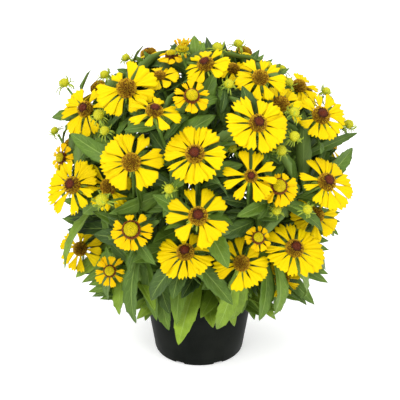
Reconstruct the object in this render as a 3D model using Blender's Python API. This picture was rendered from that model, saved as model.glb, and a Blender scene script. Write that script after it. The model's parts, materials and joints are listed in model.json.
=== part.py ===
"""Potted yellow sneezeweed: black nursery pot, potting soil, leafy stems and yellow daisy blooms.

Metres, +Z up, front along -Y seen by a viewer who looks along +Y, +X to the right. The origin is
the middle of the pot's underside.
"""

import math
import random

import bmesh
import bpy
import numpy as np
from mathutils import Matrix, Vector

MM = 0.001
SEED = 20

# The pot: a 12 cm low nursery pot
POT_HEIGHT = 73.0 * MM
POT_RIM_RADIUS = 60.0 * MM
POT_FOOT_RADIUS = 48.5 * MM
POT_WALL = 1.5 * MM
POT_RIM_ROUNDING = 0.6 * MM
POT_BASE_THICKNESS = 2.0 * MM
POT_SIDES = 28
FOOT_RING_WIDTH = 4.0 * MM
FOOT_HEIGHT = 3.0 * MM
FOOT_PAD_RADIUS = 27.0 * MM
FOOT_NOTCHES = 7
FOOT_NOTCH_WIDTH = 11.0 * MM
FOOT_NOTCH_HEIGHT = 2.4 * MM
GAP = 0.3 * MM

# The soil
SOIL_TOP = 63.0 * MM
SOIL_ROUGHNESS = 1.3 * MM
HOLE_RADIUS = 3.2 * MM
HOLE_SIDES = 6
HOLE_DEPTH = 12.0 * MM

# The stems
STEM_RADIUS = 2.3 * MM
BRANCH_RADIUS = 1.7 * MM
STALK_RADIUS = 1.2 * MM
STEM_RING = 33.0 * MM
STEM_INNER_RING = 12.0 * MM
OUTER_STEM_AZIMUTHS = (-165, -130, -106, -82, -56, -28, 12, 58, 112, 152)
INNER_STEM_AZIMUTHS = (-90, 90)
INNER_REACH = 66.0 * MM

# The blooms
BLOOM_THICKNESS = 0.8 * MM
BACK_BLOOM_RADIUS = 30.0 * MM
# Rows of blooms on the hidden back: height as a share of the crown, how many, and the first azimuth
BACK_ROWS = ((0.86, 2, 60), (0.56, 4, 22), (0.18, 4, 14), (-0.20, 3, 38))
BACK_ROW_SPANS = (70, 134, 152, 104)

BRACT_TIPS = 4
# How a ray's outline is filled, by its number of corners, so that the notches at its tip stay open
RAY_SHEETS = {
    5: ((0, 1, 2), (0, 2, 4), (2, 3, 4)),
    6: ((0, 1, 2), (0, 2, 5), (2, 3, 4), (2, 4, 5)),
    7: ((0, 1, 2), (0, 2, 4), (2, 3, 4), (4, 5, 6), (0, 4, 6)),
}

# The leaves
LEAF_THICKNESS = 0.8 * MM
LEAF_LENGTH = 64.0 * MM
LEAF_WIDTH = 20.0 * MM
FRONT_LEAVES = 8
BACK_LEAVES = 6
# Leaves that reach out over the pot's rim: azimuth of the root, how far the tip is turned from it,
# and how far out and how high the tip is in millimetres
SKIRT_LEAVES = (
    (-152, -6, 92, 78), (-141, 8, 84, 64), (-131, -8, 94, 84), (-122, 10, 84, 62),
    (-113, -10, 88, 82), (-105, 8, 82, 66), (-98, -12, 90, 86), (-90, 10, 84, 68),
    (-83, -6, 90, 84), (-75, 12, 82, 64), (-67, 6, 92, 84), (-58, -10, 84, 66),
    (-50, 8, 92, 84), (-41, -6, 86, 66), (-32, 8, 94, 84), (0, 0, 90, 76), (30, 8, 90, 66),
    (62, -8, 90, 78), (92, 8, 90, 66), (124, -8, 90, 78), (156, 8, 90, 66), (180, -6, 92, 78),
)
SKIRT_WIDTH = 18.0 * MM
SEEN_WIDENING = 1.18

# How the photograph sees it: the eye looks along +Y and down at this angle, at a point above the pot
SIGHT_ANGLE = math.radians(25.0)
SIGHT_DISTANCE = 1452.0 * MM
SIGHT_TARGET = Vector((0.0, 0.0, 177.0 * MM))
ACROSS = Vector((1.0, 0.0, 0.0))
UP_PAGE = Vector((0.0, math.sin(SIGHT_ANGLE), math.cos(SIGHT_ANGLE)))
TO_EYE = Vector((0.0, -math.cos(SIGHT_ANGLE), math.sin(SIGHT_ANGLE)))

# The round crown on which the blooms sit
CROWN_MIDDLE = Vector((2.0 * MM, 0.0, 205.0 * MM))
CROWN_RADII = Vector((150.0 * MM, 125.0 * MM, 148.0 * MM))

# Blooms seen in the photograph, the nearest first. Millimetres right of and above the middle of the
# sight plane, radius, disc width, stage, lean to the right, lean up, and millimetres nearer the eye.
FULL = "full"
CAPPED = "capped"
YOUNG = "young"
OPENING = "opening"
SEEN_BLOOMS = (
    (-72, 40, 32, 19, FULL, -0.05, 0.10, 4),
    (-4, 48, 31, 19, CAPPED, -0.10, 0.30, 4),
    (-1, -18, 32, 19, CAPPED, 0.00, 0.30, 8),
    (-14, -57, 30, 18, CAPPED, -0.15, 0.50, 0),
    (45, -68, 29, 17, FULL, 0.10, 0.20, 0),
    (101, -53, 32, 19, CAPPED, 0.28, 0.45, 4),
    (-72, -32, 22, 17, YOUNG, -0.10, 0.15, 6),
    (-134, 15, 29, 18, CAPPED, -0.40, 0.25, 10),
    (135, 18, 30, 19, CAPPED, 0.40, 0.40, 10),
    (55, 25, 28, 13, CAPPED, 0.10, 0.20, 4),
    (85, 14, 21, 15, YOUNG, 0.15, 0.20, 0),
    (62, 81, 32, 18, CAPPED, 0.25, 0.30, 10),
    (129, 89, 27, 19, CAPPED, 0.30, 0.40, 6),
    (-77, 118, 32, 20, FULL, -0.10, 0.25, 10),
    (-120, 96, 30, 17, CAPPED, -0.45, 0.30, 0),
    (-48, 93, 27, 17, CAPPED, 0.15, 0.72, 0),
    (-95, -76, 18, 12, YOUNG, -0.10, 0.10, 4),
    (65, 129, 28, 17, FULL, 0.10, 0.45, 0),
    (-8, 110, 19, 14, YOUNG, 0.10, 0.35, 0),
    (63, -41, 14, 12, YOUNG, 0.10, 0.30, -4),
    (8, 143, 25, 17, CAPPED, -0.30, 0.62, 0),
    (-18, 160, 14, 12, OPENING, 0.00, 0.93, 2),
    (36, 138, 23, 14, FULL, 0.10, 0.80, -6),
    (-42, 130, 23, 14, FULL, -0.20, 0.80, -16),
    (-29, 153, 17, 12, YOUNG, -0.15, 0.85, -24),
    (87, 101, 26, 17, FULL, 0.20, 0.50, -14),
    (-97, 14, 27, 17, FULL, 0.10, 0.15, -26),
    (-126, -52, 27, 16, FULL, -0.30, 0.00, -10),
    (124, -17, 28, 17, FULL, 0.30, 0.10, -12),
    (88, -84, 24, 16, FULL, 0.20, -0.20, -10),
    (-146, 45, 16, 12, YOUNG, -0.60, 0.10, -4),
    (106, 120, 24, 16, FULL, 0.30, 0.60, -30),
)

# Buds seen in the photograph: millimetres right and up, radius, and millimetres nearer the eye
SEEN_BUDS = (
    (-144, 125, 5.5, 0), (-101, 134, 5.0, 6), (-78, 152, 4.5, 0), (-42, 155, 4.5, -16),
    (-21, 126, 6.0, 6), (-154, 74, 4.5, -4), (-147, 56, 5.0, 10), (-107, 91, 6.0, 14),
    (-101, 74, 5.0, 8), (20, 163, 5.5, 0), (42, 167, 5.0, -14), (74, 144, 4.5, -10),
    (96, 126, 5.0, 0), (32, 124, 5.0, 6), (102, 94, 5.5, 10), (102, 68, 5.5, 10),
    (136, 116, 5.0, -6), (160, 81, 5.5, 0), (35, 56, 5.5, 6), (88, 53, 5.5, 8),
    (-104, 0, 6.5, 12), (83, -11, 5.0, 4), (116, -10, 5.0, 10), (-32, 12, 5.0, 4),
)

# Leaves seen in the photograph by their tips: millimetres right and up of the tip, the same of the
# root end, millimetres nearer the eye than the crown at the tip and at the root end, and the width.
SEEN_LEAVES = (
    (-22, -155, -14, -96, 34, 20, 20), (-24, -134, -32, -88, 38, 22, 15),
    (-67, -132, -44, -84, 34, 16, 15), (-45, -129, -28, -82, 28, 10, 14),
    (-51, -107, -30, -66, 30, 12, 16), (-96, -107, -66, -70, 12, 4, 16),
    (-143, -75, -104, -52, 8, 0, 15), (-141, -32, -100, -24, 4, 0, 14),
    (-85, -123, -60, -86, 24, 10, 14), (-28, -106, -10, -74, 32, 14, 17),
    (19, -138, 8, -92, 34, 14, 15), (37, -127, 30, -84, 34, 12, 16),
    (64, -129, 46, -88, 32, 10, 15), (36, -112, 16, -72, 38, 16, 15),
    (77, -125, 60, -82, 22, 6, 15), (81, -118, 62, -66, 30, 8, 14),
    (111, -104, 78, -72, 12, 4, 16), (135, -74, 98, -58, 6, 0, 15),
    (132, -33, 96, -26, 8, 0, 15), (31, -73, 4, -98, 26, 20, 17),
    (170, 72, 128, 58, 0, -6, 9), (164, 56, 124, 40, 4, -8, 14),
    (-157, 88, -112, 64, 0, -10, 13), (-137, 71, -96, 46, 12, -4, 15),
    (-59, 165, -50, 122, -6, -16, 12), (19, 139, 14, 92, 4, -10, 15),
    (46, 122, 36, 76, 2, -12, 16),
)


def clear_scene():
    for item in list(bpy.data.objects):
        bpy.data.objects.remove(item, do_unlink=True)


def material(name, colour, roughness):
    made = bpy.data.materials.new(name)
    made.use_nodes = True
    shader = made.node_tree.nodes["Principled BSDF"]
    shader.inputs["Base Color"].default_value = (*colour, 1.0)
    shader.inputs["Roughness"].default_value = roughness
    return made


def make_object(name, shape, finish):
    points, faces = shape
    mesh = bpy.data.meshes.new(name)
    mesh.from_pydata([tuple(point) for point in points], [], faces)
    mesh.materials.append(finish)
    mesh.update()
    sorted_mesh = bmesh.new()
    sorted_mesh.from_mesh(mesh)
    bmesh.ops.recalc_face_normals(sorted_mesh, faces=sorted_mesh.faces)
    if sorted_mesh.calc_volume(signed=True) < 0.0:
        bmesh.ops.reverse_faces(sorted_mesh, faces=sorted_mesh.faces)
    sorted_mesh.to_mesh(mesh)
    sorted_mesh.free()
    made = bpy.data.objects.new(name, mesh)
    bpy.context.scene.collection.objects.link(made)
    return made


def apply_boolean(target, tools, operation):
    """One Boolean on a collection of tools, applied. The tools are then removed."""
    folder = bpy.data.collections.new("tools")
    bpy.context.scene.collection.children.link(folder)
    for tool in tools:
        bpy.context.scene.collection.objects.unlink(tool)
        folder.objects.link(tool)
    cut = target.modifiers.new("cut", "BOOLEAN")
    cut.operation = operation
    cut.operand_type = "COLLECTION"
    cut.collection = folder
    cut.solver = "EXACT"
    bpy.context.view_layer.objects.active = target
    bpy.ops.object.modifier_apply(modifier=cut.name)
    for tool in tools:
        bpy.data.objects.remove(tool, do_unlink=True)
    bpy.data.collections.remove(folder)


# The room taken up so far, in small cells
class Room:
    CELL = 2.0 * MM
    REACH = 1.6

    def __init__(self):
        self.low = np.array((-0.21, -0.21, -0.01))
        self.cells = np.zeros((210, 210, 210), np.int16)
        steps = range(-2, 3)
        self.ball = np.array([
            (i, j, k) for i in steps for j in steps for k in steps
            if i * i + j * j + k * k <= self.REACH * self.REACH + 0.01
        ])

    def find(self, points):
        found = np.floor((np.asarray(points) - self.low) / self.CELL).astype(int)
        return np.clip(found, 2, 207)

    def clashes(self, points, allowed=()):
        i, j, k = self.find(points).T
        owners = self.cells[i, j, k]
        taken = owners != 0
        for owner in allowed:
            taken &= owners != owner
        return int(taken.sum())

    def take(self, points, owner):
        cells = (self.find(points)[:, None, :] + self.ball[None, :, :]).reshape(-1, 3)
        i, j, k = cells.T
        self.cells[i, j, k] = owner


def crown_point(right, up, nearer):
    """The point of the crown on the sight line through a point of the sight plane."""
    eye = SIGHT_TARGET + TO_EYE * SIGHT_DISTANCE
    seen = SIGHT_TARGET + ACROSS * right + UP_PAGE * up
    along = (seen - eye).normalized()
    start = eye - CROWN_MIDDLE
    a = sum((along[i] / CROWN_RADII[i]) ** 2 for i in range(3))
    b = sum(along[i] * start[i] / CROWN_RADII[i] ** 2 for i in range(3))
    c = sum((start[i] / CROWN_RADII[i]) ** 2 for i in range(3)) - 1.0
    inside = b * b - a * c
    reach = (-b - math.sqrt(max(inside, 0.0))) / a
    return eye + along * (reach - nearer)


def crown_outward(point):
    """The direction straight out of the crown at a point."""
    away = point - CROWN_MIDDLE
    return Vector([away[i] / CROWN_RADII[i] ** 2 for i in range(3)]).normalized()


def square_to(direction):
    """Two unit vectors square to a direction and to each other."""
    helper = Vector((0.0, 0.0, 1.0))
    if abs(direction.z) > 0.9:
        helper = Vector((0.0, 1.0, 0.0))
    side = direction.cross(helper).normalized()
    return side, direction.cross(side).normalized()


def bezier(start, start_pull, end_pull, end, count):
    points = []
    for step in range(count + 1):
        t = step / count
        s = 1.0 - t
        points.append(
            start * s ** 3 + start_pull * 3 * s * s * t + end_pull * 3 * s * t * t + end * t ** 3
        )
    return points


def along_path(points, share):
    """The point and direction at a share of a path's points."""
    place = min(max(share, 0.0), 1.0) * (len(points) - 1)
    index = min(int(place), len(points) - 2)
    step = points[index + 1] - points[index]
    return points[index] + step * (place - index), step.normalized()


def fine_points(path, spacing=2.0 * MM):
    found = []
    for start, end in zip(path, path[1:]):
        count = max(1, int((end - start).length / spacing) + 1)
        found += [start.lerp(end, i / count) for i in range(count)]
    found.append(path[-1])
    return [tuple(point) for point in found]


class Bloom:
    """One bloom: where its disc stands, which way it faces and how far open it is."""

    def __init__(self, middle, facing, radius, disc, stage, turn):
        self.middle = middle
        self.facing = facing.normalized()
        self.radius = radius
        self.disc = disc
        self.stage = stage
        self.turn = turn

    def placed(self, middle):
        return Bloom(middle, self.facing, self.radius, self.disc, self.stage, self.turn)

    def axes(self):
        side, top = square_to(self.facing)
        c, s = math.cos(self.turn), math.sin(self.turn)
        return side * c + top * s, top * c - side * s, self.facing

    def turned(self):
        """The turn that stands the bloom's own +Z along its facing."""
        return Matrix(self.axes()).transposed().to_quaternion()

    def ray_height(self, reach):
        """How high the rays stand over the disc's foot at a distance from the middle."""
        share = reach / self.radius
        if self.stage == OPENING:
            return 0.75 * reach
        return (0.16 * share - 0.24 * share * share) * self.radius

    def room_points(self):
        points = []
        rings = int(self.radius / (2.0 * MM)) + 1
        for ring in range(rings + 1):
            reach = self.radius * ring / rings
            count = max(1, int(math.tau * reach / (2.0 * MM)))
            for step in range(count):
                angle = math.tau * step / count
                points.append((reach * math.cos(angle), reach * math.sin(angle), self.ray_height(reach)))
        dome = self.disc * 0.5
        for ring in range(1, 5):
            tilt = ring * math.pi / 8
            count = 12
            for step in range(count):
                angle = math.tau * step / count
                points.append((
                    dome * math.cos(tilt) * math.cos(angle),
                    dome * math.cos(tilt) * math.sin(angle),
                    dome * 1.1 * math.sin(tilt),
                ))
        x, y, z = (np.array(axis) for axis in self.axes())
        local = np.array(points)
        return np.array(self.middle) + local @ np.array((x, y, z))

    def foot(self):
        """Where the stem's cup ends, just behind the bloom."""
        return self.middle - self.facing * (BLOOM_THICKNESS + GAP)


class Plan:
    """Where every bloom, stem, bud and leaf goes, with nothing crossing another stem's parts."""

    def __init__(self):
        self.chance = random.Random(SEED)
        self.room = Room()
        self.blooms = []
        self.stems = []
        self.dropped = 0
        self.take_pot()
        self.place_seen_blooms()
        self.place_back_blooms()
        self.place_stems()
        self.place_branches()
        self.place_buds()
        self.place_seen_leaves()
        self.place_skirt()
        self.place_leaves()

    def take_pot(self):
        points = []
        for level in range(0, 38):
            height = POT_HEIGHT * level / 37
            share = height / POT_HEIGHT
            radius = POT_FOOT_RADIUS + (POT_RIM_RADIUS - POT_FOOT_RADIUS) * share
            for step in range(200):
                angle = math.tau * step / 200
                points.append((radius * math.cos(angle), radius * math.sin(angle), height))
        self.room.take(points, 1)
        soil = [(x * MM, y * MM, SOIL_TOP + lift * MM) for x in range(-58, 59, 2)
                for y in range(-58, 59, 2) for lift in (0, 2) if x * x + y * y < 58 * 58]
        self.room.take(soil, 2)

    def settle(self, bloom, line, offsets):
        """The first place along a line where a bloom is clear of all the others."""
        best = None
        for offset in offsets:
            moved = bloom.placed(bloom.middle + line * (offset * MM))
            count = self.room.clashes(moved.room_points())
            if best is None or count < best[0]:
                best = (count, moved)
            if count == 0:
                break
        return best

    def keep_bloom(self, bloom):
        self.blooms.append(bloom)
        self.room.take(bloom.room_points(), 100 + len(self.blooms))

    def place_seen_blooms(self):
        offsets = [0, 4, -4, 8, -8, 12, -12, 16, -16, 20, -20, -26, -32, -38, -44, -52, -60, -70]
        for right, up, radius, disc, stage, lean_right, lean_up, nearer in SEEN_BLOOMS:
            middle = crown_point(right * MM, up * MM, nearer * MM)
            to_eye = (SIGHT_TARGET + TO_EYE * SIGHT_DISTANCE - middle).normalized()
            rest = math.sqrt(max(0.02, 1.0 - lean_right ** 2 - lean_up ** 2))
            facing = ACROSS * lean_right + UP_PAGE * lean_up + TO_EYE * rest
            turn = self.chance.uniform(0.0, math.tau)
            bloom = Bloom(middle, facing, radius * MM, disc * MM, stage, turn)
            self.keep_bloom(self.settle(bloom, to_eye, offsets)[1])

    def place_back_blooms(self):
        made = 0
        for (level, count, first), span in zip(BACK_ROWS, BACK_ROW_SPANS):
            for step in range(count):
                azimuth = first + span * step / (count - 1) + self.chance.uniform(-4.0, 4.0)
                height = level + self.chance.uniform(-0.06, 0.06)
                flat = math.sqrt(1.0 - height * height)
                angle = math.radians(azimuth)
                outward = Vector((flat * math.cos(angle), flat * math.sin(angle), height))
                stage = (FULL, CAPPED, CAPPED, YOUNG, FULL)[made % 5]
                share = 0.72 if stage == YOUNG else self.chance.uniform(0.9, 1.06)
                disc = (15.0 if stage == YOUNG else 18.0) * MM
                spot = Vector([outward[i] * CROWN_RADII[i] for i in range(3)]) * 0.95
                middle = CROWN_MIDDLE + spot
                facing = crown_outward(middle) + Vector((0.0, 0.0, 0.35))
                turn = self.chance.uniform(0.0, math.tau)
                bloom = Bloom(middle, facing, BACK_BLOOM_RADIUS * share, disc, stage, turn)
                self.keep_bloom(self.settle(bloom, outward, [0, -5, 5, -10, 9, -15, -20, -26])[1])
                made += 1

    def place_stems(self):
        """Each stem takes the blooms nearest to its side of the bush."""
        for azimuth in INNER_STEM_AZIMUTHS + OUTER_STEM_AZIMUTHS:
            self.stems.append({"azimuth": math.radians(azimuth), "blooms": [], "tubes": [],
                               "leaves": [], "buds": [], "cups": []})
        inner = len(INNER_STEM_AZIMUTHS)
        for bloom in self.blooms:
            foot = bloom.foot() - bloom.facing * 20.0 * MM
            reach = math.hypot(foot.x, foot.y)
            angle = math.atan2(foot.y, foot.x)
            high = foot.z > CROWN_MIDDLE.z + 25.0 * MM
            group = self.stems[:inner] if reach < INNER_REACH and high else self.stems[inner:]
            chosen = min(group, key=lambda stem: abs(
                math.remainder(stem["azimuth"] - angle, math.tau)) + 0.05 * len(stem["blooms"]))
            chosen["blooms"].append(bloom)
        for index, stem in enumerate(self.stems):
            owner = 10 + 2 * index
            stem["owner"] = owner
            azimuth = stem["azimuth"]
            ring = STEM_INNER_RING if index < inner else STEM_RING
            out = Vector((math.cos(azimuth), math.sin(azimuth), 0.0))
            base = out * ring + Vector((0.0, 0.0, SOIL_TOP - HOLE_DEPTH + GAP))
            stem["base"] = base
            feet = [bloom.foot() - bloom.facing * 25.0 * MM for bloom in stem["blooms"]]
            if feet:
                mean = sum(feet, Vector()) / len(feet)
            else:
                mean = out * 70.0 * MM + Vector((0.0, 0.0, 190.0 * MM))
            span = mean - base
            top = base + Vector((span.x * 0.62, span.y * 0.62, max(span.z * 0.70, 62.0 * MM)))
            neck = base + Vector((0.0, 0.0, HOLE_DEPTH + 3.0 * MM))
            lift = Vector((0.0, 0.0, 1.0)) * (top - neck).length
            path = [base] + bezier(neck, neck + lift * 0.4, top - (out * 0.2 + Vector((0, 0, 0.8)))
                                   * 0.25 * (top - neck).length, top, 4)
            stem["main"] = path
            stem["tubes"].append((path, STEM_RADIUS, BRANCH_RADIUS * 1.1, 4))
            self.room.take(fine_points(path), owner)

    def route(self, stem, end, end_direction, allowed, shares, count, clear_end):
        """A curved way from the stem to a point, clear of the rest where one is found."""
        best = None
        for share in shares:
            start, rising = along_path(stem["main"], share)
            length = (end - start).length
            side, _ = square_to((end - start).normalized())
            for bow in (0.0, 0.18, -0.18, 0.34, -0.34):
                for pull in (0.4, 0.25, 0.6):
                    path = bezier(start, start + (rising * pull + side * bow) * length,
                                  end + (end_direction * pull + side * bow * 0.4) * length * 0.7,
                                  end, count)
                    points = fine_points(path)
                    checked = points[3:len(points) - clear_end]
                    clashes = self.room.clashes(checked, allowed) if checked else 0
                    score = clashes + abs(bow) * 0.5
                    if best is None or score < best[0]:
                        best = (score, clashes, path)
                    if clashes == 0 and bow == 0.0:
                        return best
            if best[1] == 0:
                return best
        return best

    def place_branches(self):
        for stem in self.stems:
            order = sorted(stem["blooms"], key=lambda bloom: bloom.foot().z)
            for rank, bloom in enumerate(order):
                foot = bloom.foot() - bloom.facing * 3.4 * MM
                share = 0.55 + 0.45 * (rank + 1) / len(order)
                shares = [share, share - 0.15, min(1.0, share + 0.15), share - 0.3, 1.0]
                number = 100 + self.blooms.index(bloom) + 1
                found = self.route(stem, foot, -bloom.facing, (stem["owner"], number), shares, 3, 0)
                path = found[2]
                stem["cups"].append(((path, BRANCH_RADIUS * 1.1, BRANCH_RADIUS, 3), bloom))
                stem.setdefault("branches", []).append(path)
                self.room.take(fine_points(path)[:-2], stem["owner"])

    def nearest_stem(self, point):
        def distance(stem):
            paths = [stem["main"]] + stem.get("branches", [])
            return min((spot - point).length for path in paths for spot in path[2:])
        return sorted(self.stems, key=distance)[:3]

    def place_buds(self):
        for right, up, radius, nearer in SEEN_BUDS:
            done = False
            for shift in (0, 6, -6, 12, -12, 18, -20, -28):
                spot = crown_point(right * MM, up * MM, (nearer + shift) * MM)
                outward = (crown_outward(spot) + Vector((0.0, 0.0, 0.8))).normalized()
                done = self.try_bud(spot, outward, radius * MM)
                if done:
                    break
            self.dropped += not done
        golden = math.pi * (3.0 - math.sqrt(5.0))
        made = 0
        for step in range(60):
            level = 0.9 - 1.0 * ((step * 0.618 + 0.3) % 1.0)
            flat = math.sqrt(1.0 - level * level)
            out = Vector((flat * math.cos(golden * step), flat * math.sin(golden * step), level))
            if out.y < 0.15 or made >= 9:
                continue
            spot = CROWN_MIDDLE + Vector([out[i] * CROWN_RADII[i] for i in range(3)]) * 0.98
            facing = (out + Vector((0.0, 0.0, 0.8))).normalized()
            if self.try_bud(spot, facing, self.chance.uniform(4.5, 6.0) * MM):
                made += 1

    def try_bud(self, spot, facing, radius):
        ball = []
        for ring in range(-3, 4):
            tilt = ring * math.pi / 7
            for step in range(8):
                angle = math.tau * step / 8
                ball.append(tuple(spot + Vector((
                    math.cos(tilt) * math.cos(angle), math.cos(tilt) * math.sin(angle),
                    math.sin(tilt))) * radius * 1.3))
        if self.room.clashes(ball):
            return False
        for stem in self.nearest_stem(spot):
            main = stem["main"]
            starts = [main] + stem.get("branches", [])
            best = None
            for path in starts:
                for share in (0.35, 0.5, 0.65, 0.8):
                    start, rising = along_path(path, share)
                    length = (spot - start).length
                    if length > 95.0 * MM or length < 12.0 * MM:
                        continue
                    heading = (spot - start).normalized()
                    if heading.dot(rising) < 0.2 or heading.dot(facing) < 0.15:
                        continue
                    end = spot - facing * (radius + 1.2 * MM)
                    way = bezier(start, start + rising * length * 0.35, end - facing * length * 0.35,
                                 end, 2)
                    if self.room.clashes(fine_points(way)[3:], (stem["owner"],)):
                        continue
                    if best is None or length < best[0]:
                        best = (length, way)
            if best:
                tube = (best[1], STALK_RADIUS * 1.2, STALK_RADIUS, 3)
                stem["buds"].append((tube, spot, facing, radius))
                self.room.take(ball, stem["owner"] + 1)
                self.room.take(fine_points(best[1])[2:], stem["owner"])
                return True
        return False

    def try_leaf(self, stem, leaf, exempt=0.16):
        """Keeps a leaf when its blade is clear. Near its root only its own stem may be close."""
        points = leaf_room(leaf)
        start = [point for share, point in points if share <= exempt]
        rest = [point for share, point in points if share > exempt]
        own = (stem["owner"],)
        if self.room.clashes(rest) or self.room.clashes(start, own):
            return False
        stem["leaves"].append(leaf)
        self.room.take([point for share, point in points if share > 0.08], stem["owner"] + 1)
        return True

    def place_seen_leaves(self):
        for tip_u, tip_v, root_u, root_v, tip_near, root_near, width in SEEN_LEAVES:
            done = False
            for shift in (0, 5, -5, 10, -10, 16, -16):
                tip = crown_point(tip_u * MM, tip_v * MM, (tip_near + shift) * MM)
                root = crown_point(root_u * MM, root_v * MM, (root_near + shift) * MM)
                if self.try_seen_leaf(tip, root, width * SEEN_WIDENING * MM):
                    done = True
                    break
            self.dropped += not done

    def try_seen_leaf(self, tip, root, width):
        for stem in self.nearest_stem(root):
            paths = [stem["main"]] + stem.get("branches", [])
            spots = []
            for path in paths:
                for share in (0.22, 0.32, 0.42, 0.52, 0.62, 0.74, 0.86):
                    spot, _ = along_path(path, share)
                    if spot.z > SOIL_TOP + 6.0 * MM:
                        spots.append(spot)
            spots.sort(key=lambda spot: (spot - root).length)
            for spot in spots[:10]:
                for droop in (0.9, 0.5, 1.3, 0.2):
                    leaf = leaf_between(spot, tip, width, droop)
                    if leaf and self.try_leaf(stem, leaf):
                        return True
        return False

    def place_skirt(self):
        """Leaves that reach out over the pot's rim all round, so that the soil is hidden."""
        for azimuth, turn, reach, height in SKIRT_LEAVES:
            root = math.radians(azimuth)
            angle = math.radians(azimuth + turn)
            out = Vector((math.cos(angle), math.sin(angle), 0.0))
            tip = out * (reach * MM) + Vector((0.0, 0.0, height * MM))
            beside = sorted(self.stems, key=lambda stem: abs(
                math.remainder(stem["azimuth"] - root, math.tau)))
            for stem in beside[:4]:
                if self.try_skirt_leaf(stem, tip):
                    break

    def try_skirt_leaf(self, stem, tip):
        for path in [stem["main"]] + stem.get("branches", []):
            for step in range(1, 12):
                spot, _ = along_path(path, step / 12)
                if not 82.0 * MM < spot.z < 135.0 * MM:
                    continue
                for droop in (1.2, 0.9, 1.5, 0.6):
                    leaf = leaf_between(spot, tip, SKIRT_WIDTH, droop)
                    if leaf and self.try_leaf(stem, leaf):
                        return True
        return False

    def place_leaves(self):
        """Leaves by rule, turned a golden angle each along the stems and branches."""
        golden = math.pi * (3.0 - math.sqrt(5.0))
        for index, stem in enumerate(self.stems):
            paths = [stem["main"]] + stem.get("branches", [])
            made = 0
            wanted = FRONT_LEAVES if math.sin(stem["azimuth"]) < -0.3 else BACK_LEAVES
            for step in range(wanted * 4):
                if made >= wanted:
                    break
                if step % 2 == 0:
                    path = paths[0]
                    share = 0.24 + 0.70 * ((step * 0.618 + index * 0.3) % 1.0)
                else:
                    path = paths[(step // 2) % len(paths)]
                    share = 0.15 + 0.70 * ((step * 0.618 + 0.37) % 1.0)
                spot, rising = along_path(path, share)
                if spot.z < SOIL_TOP + 5.0 * MM:
                    continue
                side, top = square_to(rising)
                length = LEAF_LENGTH * self.chance.uniform(0.8, 1.12)
                width = LEAF_WIDTH * self.chance.uniform(0.85, 1.15)
                turn = golden * step + index
                for attempt in range(14):
                    angle = turn + attempt * 0.9
                    size = (1.0, 0.9, 0.78)[attempt % 3]
                    flat = side * math.cos(angle) + top * math.sin(angle)
                    direction = (flat + rising * (0.55 + 0.1 * (attempt % 4))).normalized()
                    if spot.z < 95.0 * MM:
                        out = Vector((spot.x, spot.y, 0.0)).normalized()
                        direction = (direction * 0.5 + out * 0.7 + Vector((0, 0, 0.35))).normalized()
                    droop = (0.8, 0.4, 1.1, 0.1)[attempt % 4]
                    leaf = make_leaf(spot, direction, length * size, width * size, droop)
                    end = leaf_point(leaf, 1.0, 0.0)
                    away = end - CROWN_MIDDLE
                    size_out = sum((away[i] / (CROWN_RADII[i] + 14.0 * MM)) ** 2 for i in range(3))
                    if size_out > 1.0 and end.z > 90.0 * MM:
                        continue
                    if self.try_leaf(stem, leaf):
                        made += 1
                        break


def make_leaf(root, direction, length, width, droop):
    """A leaf that leaves its root along a direction, its upper face turned up and outwards."""
    out = Vector((root.x, root.y, 0.0)).normalized()
    look = Vector((0.0, 0.0, 0.55)) + out
    normal = look - direction * look.dot(direction)
    if normal.length < 0.05:
        normal = square_to(direction)[0]
    return {"root": root, "direction": direction, "normal": normal.normalized(),
            "length": length, "width": width, "droop": max(droop, 0.01), "teeth": 1}


def leaf_between(root, tip, width, droop):
    """A leaf whose curved midrib ends at a given tip."""
    span = tip - root
    if span.length < 30.0 * MM or span.length > 88.0 * MM:
        return None
    along = span.normalized()
    look = Vector((0.0, 0.0, 0.6)) + Vector((tip.x, tip.y, 0.0)).normalized()
    normal = look - along * look.dot(along)
    if normal.length < 0.05:
        return None
    normal.normalize()
    half = droop * 0.5
    direction = along * math.cos(half) + normal * math.sin(half)
    lift = normal * math.cos(half) - along * math.sin(half)
    length = span.length * half / math.sin(half)
    return {"root": root, "direction": direction, "normal": lift,
            "length": length, "width": width, "droop": droop, "teeth": 2}


def leaf_point(leaf, share, across, lift=0.0):
    """A point of a leaf's blade, by share of its length and distance across."""
    direction, normal = leaf["direction"], leaf["normal"]
    side = direction.cross(normal)
    bend = leaf["droop"] * share
    size = leaf["length"] / leaf["droop"]
    middle = leaf["root"] + direction * (size * math.sin(bend)) - normal * (size * (1 - math.cos(bend)))
    up = direction * math.sin(bend) + normal * math.cos(bend)
    return middle + side * across + up * (lift + abs(across) * 0.32)


def leaf_room(leaf):
    points = []
    steps = max(8, int(leaf["length"] / (2.0 * MM)))
    for step in range(steps + 1):
        share = step / steps
        half = 0.5 * leaf["width"] * min(1.0, 0.25 + 1.9 * share, 2.2 * (1.0 - share) + 0.1)
        count = max(1, int(half / (2.0 * MM)) + 1)
        for offset in range(-count, count + 1):
            points.append((share, tuple(leaf_point(leaf, share, half * offset / count))))
    return points


def slab(outline, inner, triangles, thickness, place):
    """A thin closed sheet: the same triangles on both faces, joined by a wall round the outline."""
    flat = outline + inner
    count = len(flat)
    points = [place(x, y, z + thickness * 0.5) for x, y, z in flat]
    points += [place(x, y, z - thickness * 0.5) for x, y, z in flat]
    faces = [tuple(tri) for tri in triangles]
    faces += [tuple(index + count for index in reversed(tri)) for tri in triangles]
    size = len(outline)
    for index in range(size):
        other = (index + 1) % size
        faces.append((other, index, index + count))
        faces.append((other, index + count, other + count))
    return points, faces


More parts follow.
